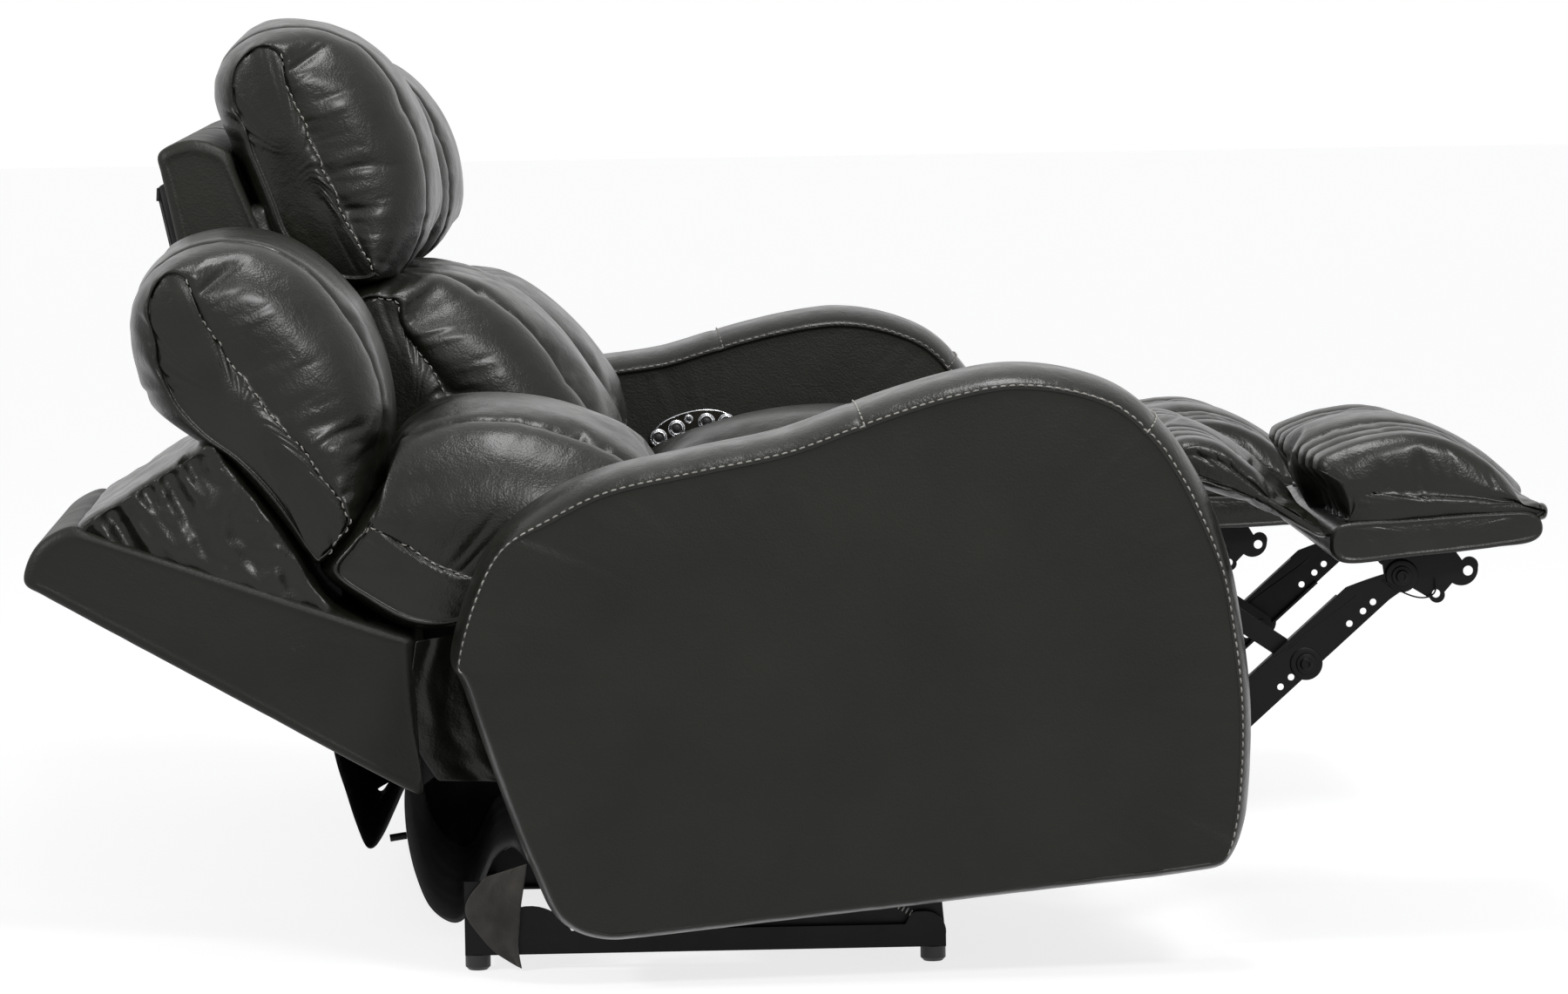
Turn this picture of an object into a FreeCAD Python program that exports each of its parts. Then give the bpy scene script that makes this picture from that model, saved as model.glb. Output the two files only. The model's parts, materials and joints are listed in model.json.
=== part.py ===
import FreeCAD, Part
import math
import os
import Sketcher
from FreeCAD import Placement, Rotation, Vector

# Reclining sofa with three seats. Millimetres, +Z up, the front faces -Y, the floor is Z = 0.
# Every seat is drawn upright and closed at X = 0, then carried to its place and pose.

SIZES = {
    "seat_width": 582.0,
    "seat_gap": 4.0,
    "arm_width": 188.0,
    "soft_gap": 3.0,
    "running_gap": 1.0,
    "origin_back": 12.192,
    # steel gauges, and the stack of plates counted inwards from the seat's side
    "plate_gauge": 3.0,
    "side_rail_width": 36.0,
    "side_rail_height": 50.0,
    "side_rail_top": 392.0,
    "seat_front": -268.0,
    "seat_rear": 250.0,
    "cross_rail_depth": 32.0,
    "channel_width": 46.0,
    "channel_flange": 11.0,
    "link_end_radius": 18.0,
    "pivot_radius": 5.0,
    "pivot_gap": 0.08,
    "rivet_head_radius": 9.0,
    "torque_tube_radius": 10.0,
    # headrest arms and their hinge lugs, on each side of the middle
    "headrest_arm_at": 150.0,
    "headrest_arm_gauge": 4.0,
    "headrest_arm_half_width": 9.0,
    "headrest_slot_inner": 143.0,
    "headrest_slot_outer": 168.0,
    # base
    "foot_radius": 15.0,
    "foot_height": 18.0,
    "foot_edge": 4.0,
    "rail_rear": 385.0,
    "rail_front": -184.0,
    "rail_height": 27.0,
    "rail_riser_height": 88.0,
    "rail_riser_depth": 42.0,
    "rail_flange": 23.0,
    "rail_inset": 6.0,
    "front_lobe_height": 42.0,
    "cross_tube_height": 22.0,
    "cross_tube_inset": 24.0,
    "connector_length": 60.0,
    "shoe_length": 44.0,
    "shoe_height": 24.0,
    # motion
    "glide": 140.0,
    "tilt_angle": 3.8,
    "recline_angle": 44.6,
    "headrest_angle": 35.0,
    "left_headrest_angle": 6.0,
    "lumbar_angle": 15.0,
    "back_slope": 22.2318,
    "tilt_pivot_back": 390.0,
    "tilt_pivot_height": 150.0,
    "recline_pivot_back": 347.0,
    "recline_pivot_height": 424.0,
    "headrest_pivot_inset": 12.144,
    "headrest_pivot_height": 668.0,
    "lumbar_pivot_back": 513.0,
    "lumbar_pivot_height": 562.0,
    # footrest linkage, drawn with the footrest out
    "crank_pivot_back": -185.0,
    "crank_pivot_height": 275.0,
    "board_pivot_back": -611.0,
    "board_pivot_height": 379.0,
    "channel_length": 295.0,
    "channel_angle": 38.0,
    "cross_link_length": 185.0,
    "cross_link_pivot": 154.0,
    "cross_link_half_width": 12.0,
    "board_front": -795.0,
    "board_rear": -519.0,
    "board_bottom": 404.0,
    "board_height": 28.0,
    # drives
    "track_width": 30.0,
    "track_height": 20.0,
    "track_offset": 75.0,
    "track_bottom": 318.0,
    "block_length": 40.0,
    # control plate on the arm's inner face
    "control_length": 126.0,
    "control_rise": 38.0,
    "control_thickness": 7.0,
    "control_back": 65.0,
    "control_height": 500.0,
    "control_slope": 12.0,
    "button_radius": 10.5,
    "button_height": 6.5,
    "button_travel": 1.2,
    "button_gap": 0.3,
    "home_button_radius": 4.5,
    "socket_width": 13.0,
    "socket_opening": 7.5,
    "socket_depth": 5.2,
    "leather_thickness": 3.0,
    "back_panel_rise": 80.0,
    "back_panel_height": 400.0,
    "seated_gap": 0.3,
    "spring_wire": 3.5,
    "spring_reach": 22.0,
    "spring_pitch": 34.0,
}

doc = FreeCAD.newDocument("RecliningSofa")
sheet = doc.addObject("Spreadsheet::Sheet", "Sizes")
for row, (name, number) in enumerate(SIZES.items(), start=1):
    sheet.set("A%d" % row, name.replace("_", " "))
    sheet.set("B%d" % row, str(number))
    sheet.setAlias("B%d" % row, name)
doc.recompute()


def size(name):
    """A driving dimension, read back from the sheet."""
    return float(sheet.get(name))


# Places that several pieces share, all from the sheet.
HALF = size("seat_width") / 2
PITCH = size("seat_width") + size("seat_gap")
GAUGE = size("plate_gauge")
GAP = size("running_gap")
SIDE_PLATE = HALF - size("side_rail_width") - GAUGE
CRANK_LAYER = SIDE_PLATE - GAP - GAUGE
CHANNEL_LAYER = CRANK_LAYER - GAP - GAUGE
BRACKET_LAYER = CHANNEL_LAYER - GAP - GAUGE
CROSS_LAYER = CHANNEL_LAYER - size("channel_flange") - GAP - GAUGE
RAIL_WEB = HALF - size("rail_inset") - GAUGE
RAIL_BOTTOM = size("foot_height")
FLANGE_EDGE = RAIL_WEB + GAUGE - size("rail_flange")
TILT = Vector(0, size("tilt_pivot_back"), size("tilt_pivot_height"))
RECLINE = Vector(0, size("recline_pivot_back"), size("recline_pivot_height"))

# The shell's lower front corner, and its lower rear one, both carried by the recline pivot.
BACK_FOOT = (RECLINE.y + 166, RECLINE.z + 136)
BACK_HEEL = (RECLINE.y + 301, RECLINE.z + 8)


def on_face(height):
    """How far back the shell's front face is at a height."""
    return BACK_FOOT[0] + (height - BACK_FOOT[1]) * math.tan(math.radians(size("back_slope")))


HEAD = Vector(0, on_face(size("headrest_pivot_height")) - size("headrest_pivot_inset"),
              size("headrest_pivot_height"))
LUMBAR = Vector(0, size("lumbar_pivot_back"), size("lumbar_pivot_height"))
CRANK = Vector(0, size("crank_pivot_back"), size("crank_pivot_height"))
BOARD = Vector(0, size("board_pivot_back"), size("board_pivot_height"))


def along(start, angle, distance):
    """The point at a distance from another, at an angle above the rearward direction."""
    turn = math.radians(angle)
    return start + Vector(0, math.cos(turn) * distance, math.sin(turn) * distance)


ELBOW = along(BOARD, -size("channel_angle"), size("channel_length"))
CROSS = along(BOARD, -size("channel_angle"), size("cross_link_pivot"))
CROSS_END = along(CROSS, size("channel_angle"), size("cross_link_length"))
ARM_TOP = HEAD + Vector(0, 48, 180)

parts = {}


def keep(label, shape_object, place=None):
    """Name a finished sub-part and note the pose that its seat is shown in."""
    shape_object.Label = label
    parts[label] = (shape_object, place or Placement())
    return shape_object


class Via:
    """An arc to an end point, through a point on the way."""

    def __init__(self, middle, end):
        self.middle = middle
        self.end = end


def flat(point):
    """A point of a side outline, (back, height), as a vector."""
    return Vector(point[0], point[1], 0)


def from_head(back, height):
    """A point of an outline, measured from the headrest's pivot."""
    return (HEAD.y + back, HEAD.z + height)


def bulged(first, last, back, height):
    """The middle point of an arc, measured from the middle of its chord."""
    return ((first[0] + last[0]) / 2 + back, (first[1] + last[1]) / 2 + height)


def outline_edges(outline, closed=True):
    """Lines and arcs of a side outline; its first entry is a plain point."""
    edges = []
    last = flat(outline[0])
    for step in outline[1:] + ([outline[0]] if closed else []):
        if isinstance(step, Via):
            end = flat(step.end)
            edges.append(Part.Arc(last, flat(step.middle), end))
        else:
            end = flat(step)
            if (end - last).Length < 1e-6:
                continue
            edges.append(Part.LineSegment(last, end))
        last = end
    return edges


def origin_plane(body, role):
    """One of a body's own origin planes."""
    return [feature for feature in body.Origin.OriginFeatures if feature.Role == role][0]


def side_sketch(owner, name, outlines, circles=(), start=0.0):
    """A sketch in a body's side plane, shifted along X."""
    sketch = owner.newObject("Sketcher::SketchObject", name)
    sketch.AttachmentSupport = [(origin_plane(owner, "YZ_Plane"), "")]
    sketch.MapMode = "FlatFace"
    sketch.AttachmentOffset = Placement(Vector(0, 0, start), Rotation())
    for outline in outlines:
        sketch.addGeometry(outline_edges(outline), False)
    for centre, radius in circles:
        index = sketch.addGeometry(Part.Circle(flat((centre.y, centre.z)), Vector(0, 0, 1), 1.0), False)
        constraint = sketch.addConstraint(Sketcher.Constraint("Radius", index, 1.0))
        sketch.setExpression("Constraints[%d]" % constraint, radius)
    return sketch


def plate_body(name, outline, start, thickness, circles=()):
    """A flat piece: a side outline with round holes, padded along +X."""
    body = doc.addObject("PartDesign::Body", name)
    sketch = side_sketch(body, name + "_outline", [outline], circles, start)
    pad = body.newObject("PartDesign::Pad", name + "_pad")
    pad.Profile = sketch
    pad.setExpression("Length", thickness)
    sketch.Visibility = False
    body.Tip = pad
    return body


def pin(name, centre, start, length, radius):
    """A round pin along X."""
    cylinder = doc.addObject("Part::Cylinder", name)
    cylinder.setExpression("Radius", radius)
    cylinder.Height = length
    cylinder.Placement = Placement(Vector(start, centre.y, centre.z), Rotation(Vector(0, 1, 0), 90))
    return cylinder


def block(name, low, high):
    """A box between two corners."""
    box = doc.addObject("Part::Box", name)
    box.Length = high[0] - low[0]
    box.Width = high[1] - low[1]
    box.Height = high[2] - low[2]
    box.Placement = Placement(Vector(*low), Rotation())
    return box


def fuse(name, shapes):
    """Pieces welded into one."""
    fusion = doc.addObject("Part::MultiFuse", name)
    fusion.Shapes = shapes
    fusion.Refine = True
    return fusion


def cut(name, base, tool):
    """A piece with another taken out."""
    result = doc.addObject("Part::Cut", name)
    result.Base = base
    result.Tool = tool
    return result


def mirrored(source):
    """The same piece on the other side of the seat."""
    mirror = doc.addObject("Part::Mirroring", source.Name + "_other_side")
    mirror.Source = source
    mirror.Normal = Vector(1, 0, 0)
    return mirror


def group(name, pieces):
    """Separate solids that share one node."""
    compound = doc.addObject("Part::Compound", name)
    compound.Links = pieces
    return compound


def pair(name, source):
    """A piece and its mirror image on the seat's other side."""
    return group(name, [source, mirrored(source)])


PIVOT_HOLE = "Sizes.pivot_radius + Sizes.pivot_gap"


def strap(first, second, half_width):
    """Outline of a straight link with round ends about two pivots."""
    step = (second - first).normalize() * half_width
    side = Vector(0, -step.z, step.y)

    def spot(point):
        return (point.y, point.z)

    return [
        spot(first + side),
        Via(spot(first - step), spot(first - side)),
        spot(second - side),
        Via(spot(second + step), spot(second + side)),
    ]


# Soft pieces: one side outline, repeated across the width. Towards the sides it draws in to its
# centre, and at a sewn channel it dips, so the piece has a crown, a drawn-in side and its seams.

def drawn_in(outline, centre, share):
    """An outline drawn in towards a centre."""
    def draw(point):
        return (centre[0] + (point[0] - centre[0]) * share, centre[1] + (point[1] - centre[1]) * share)

    return [Via(draw(step.middle), draw(step.end)) if isinstance(step, Via) else draw(step)
            for step in outline]


SIDE_VIEW = Rotation(Vector(0, 1, 0), Vector(0, 0, 1), Vector(1, 0, 0), "ZXY")


def cushion(name, outline, centre, stations):
    """A padded piece: sections at (place along X, share of the full outline), lofted straight."""
    sections = []
    for index, (place, share) in enumerate(stations):
        sketch = doc.addObject("Sketcher::SketchObject", "%s_section_%d" % (name, index))
        sketch.addGeometry(outline_edges(drawn_in(outline, centre, share)), False)
        sketch.Placement = Placement(Vector(place, 0, 0), SIDE_VIEW)
        sections.append(sketch)
    loft = doc.addObject("Part::Loft", name)
    loft.Sections = sections
    loft.Solid = True
    loft.Ruled = True
    return loft


def side_stations(half_width, side_share, seam, dip=0.965):
    """Sections of a cushion, symmetric about its middle, with a sewn channel near each side."""
    channel = 9.0
    roll = 26.0
    shares = [(half_width, side_share), (half_width - roll, 1.0),
              (seam + channel, 1.0), (seam, dip), (seam - channel, 1.0)]
    return [(-place, share) for place, share in shares] + list(reversed(shares))


# Outlines of the padded pieces, (back, height) in the upright seat.

SEAT_BASE = size("side_rail_top") + size("spring_wire") + size("seated_gap")
SEAT_OUTLINE = [
    (-266, SEAT_BASE),
    Via((-300, 470), (-258, 530)),
    Via((-130, 556), (14, 534)),
    Via((85, 517), (143, 494)),
    Via((160, 481), (165, 455)),
    (165, SEAT_BASE),
]
LUMBAR_OUTLINE = [
    (BACK_FOOT[0] + 0.4, BACK_FOOT[1] + 2),
    from_head(19.9, 20),
    from_head(-52, 36),
    from_head(-115, 58),
    from_head(-148, 104),
    Via(from_head(-227, 78), from_head(-281, 40)),
    Via(bulged(from_head(-281, 40), (160, 517), -11, 17.5), (160, 517)),
    Via((164, 502), (185, 499)),
    (300, 500),
]
CENTRE_LUMBAR_OUTLINE = [
    (BACK_FOOT[0] + 0.4, BACK_FOOT[1] + 2),
    from_head(29.7, 44),
    from_head(-45, 87),
    from_head(-145, 122),
    Via(from_head(-243, 72), from_head(-305, -8)),
    Via(bulged(from_head(-305, -8), (174, 517), -11, 1.5), (174, 517)),
    Via((176, 502), (195, 499)),
    (300, 500),
]
HEADREST_OUTLINE = [
    from_head(-43, 100),
    from_head(38, 144),
    from_head(81, 170),
    from_head(123, 282),
    from_head(145, 317),
    Via(from_head(159, 342), from_head(156, 372)),
    Via(from_head(127, 427), from_head(45, 450)),
    Via(from_head(-57, 410), from_head(-105, 332)),
    Via(from_head(-132, 237), from_head(-118, 172)),
    Via(from_head(-95, 114), from_head(-43, 100)),
]
SHELL_OUTLINE = [
    from_head(218, 280),
    Via(from_head(175, 294), from_head(127, 281)),
    BACK_FOOT,
    BACK_HEEL,
]
BOARD_TOP = size("board_bottom") + size("board_height")
PAD_OUTLINE = [
    (-540, BOARD_TOP + size("seated_gap")),
    (-522, 474),
    Via((-487, 511), (-508, 541)),
    Via((-560, 562), (-621, 566)),
    Via((-700, 545), (-768, 478)),
    Via((-795, 452), (-799, BOARD_TOP + size("seated_gap"))),
]
MID_OUTLINE = [
    (-529, BOARD_TOP + size("seated_gap")),
    (-508, 466),
    (-472, 495),
    (-446, 526),
    Via((-400, 566), (-356, 570)),
    Via((-333, 545), (-350, 522)),
    (-515, BOARD_TOP + size("seated_gap")),
]
ARM_OUTLINE = [
    (513, 375),
    (520, 386),
    Via((455, 528), (330, 596)),
    (112, 625),
    (-17, 661),
    Via((-150, 682), (-284, 642)),
    Via((-342, 582), (-373, 509)),
    Via((-402, 356), (-399, 214)),
    Via((-388, 135), (-356, 79)),
    (-313, 74),
    (327, 53),
    Via((393, 66), (425, 89)),
    (458, 180),
]


def turn(angle, pivot):
    """A turn about the X direction through a pivot; a positive angle lifts the rear."""
    return Placement(Vector(0, 0, 0), Rotation(Vector(1, 0, 0), angle), pivot)


def shift(x, y, z):
    """A straight move."""
    return Placement(Vector(x, y, z), Rotation())


# The base: two pressed rails under each seat, cross tubes, feet and the plates that join seats.

def rail_outline():
    """Side view of a base rail: rear riser, hump and rounded front lobe."""
    low = RAIL_BOTTOM
    top = low + size("rail_height")
    rear = size("rail_rear")
    front = size("rail_front")
    riser = rear - size("rail_riser_depth")
    lobe = low + size("front_lobe_height")
    return [
        (rear, low),
        (rear, low + size("rail_riser_height")),
        (riser, low + size("rail_riser_height")),
        (riser, top + 18),
        Via((riser - 42, top + 30), (riser - 84, top)),
        (front + 48, top),
        (front + 44, lobe - 8),
        Via((front + 41, lobe - 3), (front + 34, lobe)),
        (front + 22, lobe),
        Via((front + 6, lobe - 8), (front, lobe - 28)),
        (front, low),
    ]


def base_rail(name):
    """One rail: an upright web with a flange turned inwards at its foot."""
    web = plate_body(name + "_web", rail_outline(), RAIL_WEB, "Sizes.plate_gauge")
    flange = block(name + "_flange", (FLANGE_EDGE, size("rail_front"), RAIL_BOTTOM),
                   (RAIL_WEB + GAUGE / 2, size("rail_rear"), RAIL_BOTTOM + GAUGE))
    return fuse(name + "_rail", [web, flange])


def moved(source, offset):
    """A copy of a piece in another place."""
    copy = doc.addObject("Part::Compound", source.Name + "_placed")
    copy.Links = [source]
    copy.Placement = offset
    return copy


def base():
    """All fixed steel under the three seats."""
    steel = []
    feet = []
    for seat in (-1, 0, 1):
        place = shift(seat * PITCH, 0, 0)
        tag = {-1: "right", 0: "centre", 1: "left"}[seat]
        rail = base_rail(tag + "_base")
        for piece in (rail, mirrored(rail)):
            steel.append(moved(piece, place))
        inset = size("cross_tube_inset")
        for end, back in (("front", size("rail_front") + inset), ("rear", size("rail_rear") - inset)):
            tube = block(tag + "_" + end + "_tube", (-FLANGE_EDGE, back - 11, RAIL_BOTTOM),
                         (FLANGE_EDGE, back + 11, RAIL_BOTTOM + size("cross_tube_height")))
            steel.append(moved(tube, place))
            for side in (-1, 1):
                feet.append(foot(tag + "_" + end, seat * PITCH + side * (RAIL_WEB - 9), end))
    keep("base_frame", group("base_frame", steel + connectors()))
    keep("feet", group("feet", feet))


def foot(name, x, end):
    """A round foot with an eased lower edge."""
    radius = size("foot_radius")
    back = size("rail_rear") - radius if end == "rear" else size("rail_front") + radius
    pad = doc.addObject("Part::Cylinder", name + "_foot")
    pad.setExpression("Radius", "Sizes.foot_radius")
    pad.setExpression("Height", "Sizes.foot_height")
    pad.Placement = shift(x, back, 0)
    eased = doc.addObject("Part::Chamfer", name + "_foot_eased")
    eased.Base = pad
    doc.recompute()
    edge = size("foot_edge")
    lower = [index for index, line in enumerate(pad.Shape.Edges, start=1)
             if line.BoundBox.ZMax < 0.01 and line.BoundBox.XLength > radius]
    eased.Edges = [(index, edge, edge) for index in lower]
    return eased


def connectors():
    """Plates that bolt each pair of neighbouring rails together."""
    plates = []
    gap = PITCH / 2 - (RAIL_WEB + GAUGE)
    length = size("connector_length")
    for side in (-1, 1):
        for back in (20.0, 240.0):
            centre = side * PITCH / 2
            plates.append(block("connector", (centre - gap, back, RAIL_BOTTOM + 2),
                                (centre + gap, back + length, RAIL_BOTTOM + 8)))
    return plates


# One seat: which pieces exist and how they are posed.

def seat_steel(tag, carriage, seat):
    """The carriage that glides on the rails, and the steel that tilts on it."""
    top = size("side_rail_top")
    low = top - size("side_rail_height")
    front = size("seat_front")
    rear = size("seat_rear")
    shoe_floor = RAIL_BOTTOM + GAUGE + 0.3
    inner = FLANGE_EDGE + 2
    plate_at = inner + 3
    carriage_outline = [
        (TILT.y + 18, TILT.z),
        Via((TILT.y, TILT.z + 18), (TILT.y - 18, TILT.z)),
        (300, 92),
        (-40, 78),
        (-44, 32),
        (352, 32),
        (372, 80),
    ]
    plate = plate_body(tag + "_carriage_plate", carriage_outline, plate_at, "Sizes.plate_gauge",
                       [(TILT, PIVOT_HOLE)])
    shoes = []
    for index, back in enumerate((-40.0, 300.0)):
        shoes.append(block("%s_shoe_%d" % (tag, index), (inner, back, shoe_floor),
                           (RAIL_WEB - GAP, back + size("shoe_length"), shoe_floor + size("shoe_height"))))
    keep(tag + "_carriage", pair(tag + "_carriage", fuse(tag + "_carriage_side", [plate] + shoes)), carriage)

    lug = 20.0
    side_outline = [
        (CRANK.y - 8, CRANK.z - lug),
        Via((CRANK.y - lug, CRANK.z), (CRANK.y - 12, CRANK.z + 18)),
        (CRANK.y - 20, top),
        (296, top),
        (RECLINE.y - lug, RECLINE.z),
        Via((RECLINE.y, RECLINE.z + lug), (RECLINE.y + lug, RECLINE.z)),
        (346, 330),
        (380, 220),
        (TILT.y + lug, TILT.z),
        Via((TILT.y, TILT.z - lug), (TILT.y - lug, TILT.z)),
        (330, 214),
        (100, 262),
    ]
    plate = plate_body(tag + "_side_plate", side_outline, SIDE_PLATE, "Sizes.plate_gauge",
                       [(CRANK, PIVOT_HOLE), (RECLINE, PIVOT_HOLE)])
    tilt_pin = pin(tag + "_tilt_pin", TILT, SIDE_PLATE + GAUGE / 2, plate_at + GAUGE + 4 - SIDE_PLATE,
                   "Sizes.pivot_radius")
    side = fuse(tag + "_plate_and_pin", [plate, tilt_pin])
    inner = HALF - size("side_rail_width")
    depth = size("cross_rail_depth")
    pieces = [
        side,
        mirrored(side),
        block(tag + "_side_rail", (inner, front, low), (HALF, rear, top)),
        block(tag + "_other_side_rail", (-HALF, front, low), (-inner, rear, top)),
        block(tag + "_front_rail", (-SIDE_PLATE, front, low + 6), (SIDE_PLATE, front + depth, top)),
        block(tag + "_rear_rail", (-SIDE_PLATE, rear - depth, low + 6), (SIDE_PLATE, rear, top)),
    ]
    keep(tag + "_seat_frame", group(tag + "_seat_frame", pieces), seat)


def springs(tag, place):
    """Flat zigzag springs from the front rail to the rear rail."""
    reach = size("spring_reach")
    front = size("seat_front") + 8
    rear = size("seat_rear") - 8
    count = int((rear - front) / size("spring_pitch"))
    step = (rear - front) / count
    mitre = size("spring_wire") / 2 * math.hypot(2 * reach, step) / step
    pieces = []
    for index in range(4):
        middle = (index - 1.5) * size("seat_width") / 5
        body = doc.addObject("PartDesign::Body", "%s_spring_%d" % (tag, index))
        sketch = body.newObject("Sketcher::SketchObject", "%s_spring_path_%d" % (tag, index))
        sketch.AttachmentSupport = [(origin_plane(body, "XY_Plane"), "")]
        sketch.MapMode = "FlatFace"
        sketch.AttachmentOffset = shift(0, 0, size("side_rail_top"))
        bends = [(middle + (reach if bend % 2 else -reach), front + bend * step) for bend in range(count + 1)]
        corners = [Vector(x - mitre, y, 0) for x, y in bends]
        corners += [Vector(x + mitre, y, 0) for x, y in reversed(bends)]
        lines = [Part.LineSegment(a, b) for a, b in zip(corners, corners[1:] + corners[:1])]
        sketch.addGeometry(lines, False)
        pad = body.newObject("PartDesign::Pad", "%s_spring_pad_%d" % (tag, index))
        pad.Profile = sketch
        pad.setExpression("Length", "Sizes.spring_wire")
        body.Tip = pad
        pieces.append(body)
    keep(tag + "_seat_springs", group(tag + "_seat_springs", pieces), place)


def seat_cushion(tag, place):
    """The seat cushion, resting on its springs."""
    stations = side_stations(HALF - size("control_thickness") - GAP, 0.8, 150.0)
    keep(tag + "_seat_cushion", cushion(tag + "_seat_cushion", SEAT_OUTLINE, (0, SEAT_BASE), stations), place)


def arm(tag, side, place):
    """The upholstered arm: a flat panel with a border that rounds over towards both faces."""
    width = size("arm_width")
    stations = [(0.0, 0.965), (10.0, 0.988), (34.0, 1.0), (width - 34.0, 1.0), (width - 10.0, 0.988),
                (width, 0.965)]
    inner = HALF if side > 0 else -HALF
    placed = sorted((inner + side * offset, share) for offset, share in stations)
    keep(tag + "_arm", cushion(tag + "_arm", ARM_OUTLINE, (60, 330), placed), place)


def control(tag, side, place):
    """The switch plate on the arm's inner face, with its buttons and a socket."""
    half = size("control_length") / 2
    rise = size("control_rise")
    thick = size("control_thickness")
    back = size("control_back")
    low = size("control_height")
    face = HALF - thick
    corner = 5.0
    place = place.multiply(turn(-size("control_slope"), Vector(0, back, low)))
    plate = plate_body(tag + "_control_blank", [
        (back + half, low + corner),
        Via((back, low + rise), (back - half, low + corner)),
        Via((back - half + 1, low + 1), (back - half + corner, low)),
        (back + half - corner, low),
        Via((back + half - 1, low + 1), (back + half, low + corner)),
    ], face, "Sizes.control_thickness")
    # Each button's place along the plate, towards the rear, and above its lower edge.
    spots = {
        "close_button": (50, 10.5, "Sizes.button_radius"),
        "open_button": (22, 17.5, "Sizes.button_radius"),
        "home_button": (2, 27, "Sizes.home_button_radius"),
        "headrest_up_button": (-22, 17.5, "Sizes.button_radius"),
        "headrest_down_button": (-50, 10.5, "Sizes.button_radius"),
    }
    floor = 2.0
    gap = size("button_gap")
    start = HALF - floor - gap - size("button_travel") - size("button_height")
    wells = []
    buttons = {}
    for name, (along_plate, above, radius) in spots.items():
        spot = Vector(0, back + along_plate, low + above)
        wells.append(pin("%s_%s_well" % (tag, name), spot, face - 1, thick - floor + 1,
                         radius + " + Sizes.button_gap"))
        buttons[name] = pin("%s_%s_solid" % (tag, name), spot, start, size("button_height"), radius)
    width = size("socket_width")
    slot_low = low + 2.5
    slot = block(tag + "_socket", (face - 1, back - width / 2, slot_low),
                 (face + size("socket_depth"), back + width / 2, slot_low + size("socket_opening")))
    plate = cut(tag + "_control_cut", plate, fuse(tag + "_wells", wells + [slot]))
    if side < 0:
        plate = mirrored(plate)
        buttons = {name: mirrored(button) for name, button in buttons.items()}
    keep(tag + "_control_plate", plate, place)
    for name, button in buttons.items():
        keep("%s_%s" % (tag, name), button, place)


def drives(tag, place):
    """Two motors with tracks under the seat, and the blocks that they drive."""
    width = size("track_width")
    low = size("track_bottom")
    high = low + size("track_height")
    rear = size("seat_rear") - size("cross_rail_depth")
    pieces = []
    for index, x in enumerate((-size("track_offset"), size("track_offset"))):
        track = block("%s_track_%d" % (tag, index), (x - width / 2, -120, low), (x + width / 2, rear, high))
        gear = block("%s_gear_%d" % (tag, index), (x - 32, rear - 76, low - 34), (x + 32, rear - 12, low + 4))
        motor = doc.addObject("Part::Cylinder", "%s_motor_%d" % (tag, index))
        motor.Radius = 27
        motor.Height = 92
        motor.Placement = shift(x, rear - 44, low - 120)
        stand = block("%s_stand_%d" % (tag, index), (x - width / 2, rear - 20, low), (x + width / 2, rear, high + 14))
        pieces.append(fuse("%s_drive_%d" % (tag, index), [track, gear, motor, stand]))
    keep(tag + "_drive_motors", group(tag + "_drive_motors", pieces), place)
    length = size("block_length")
    for name, x, back in (("legrest_block", -size("track_offset"), -110.0),
                          ("recline_block", size("track_offset"), -110.0 if tag == "right" else 0.0)):
        saddle = block(tag + "_" + name + "_saddle", (x - width / 2 - 6, back, low - 8),
                       (x + width / 2 + 6, back + length, high + 8))
        bore = block(tag + "_" + name + "_bore", (x - width / 2 - 0.3, back - 1, low - 0.3),
                     (x + width / 2 + 0.3, back + length + 1, high + 0.3))
        keep(tag + "_" + name, cut(tag + "_" + name, saddle, bore), place)


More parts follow.
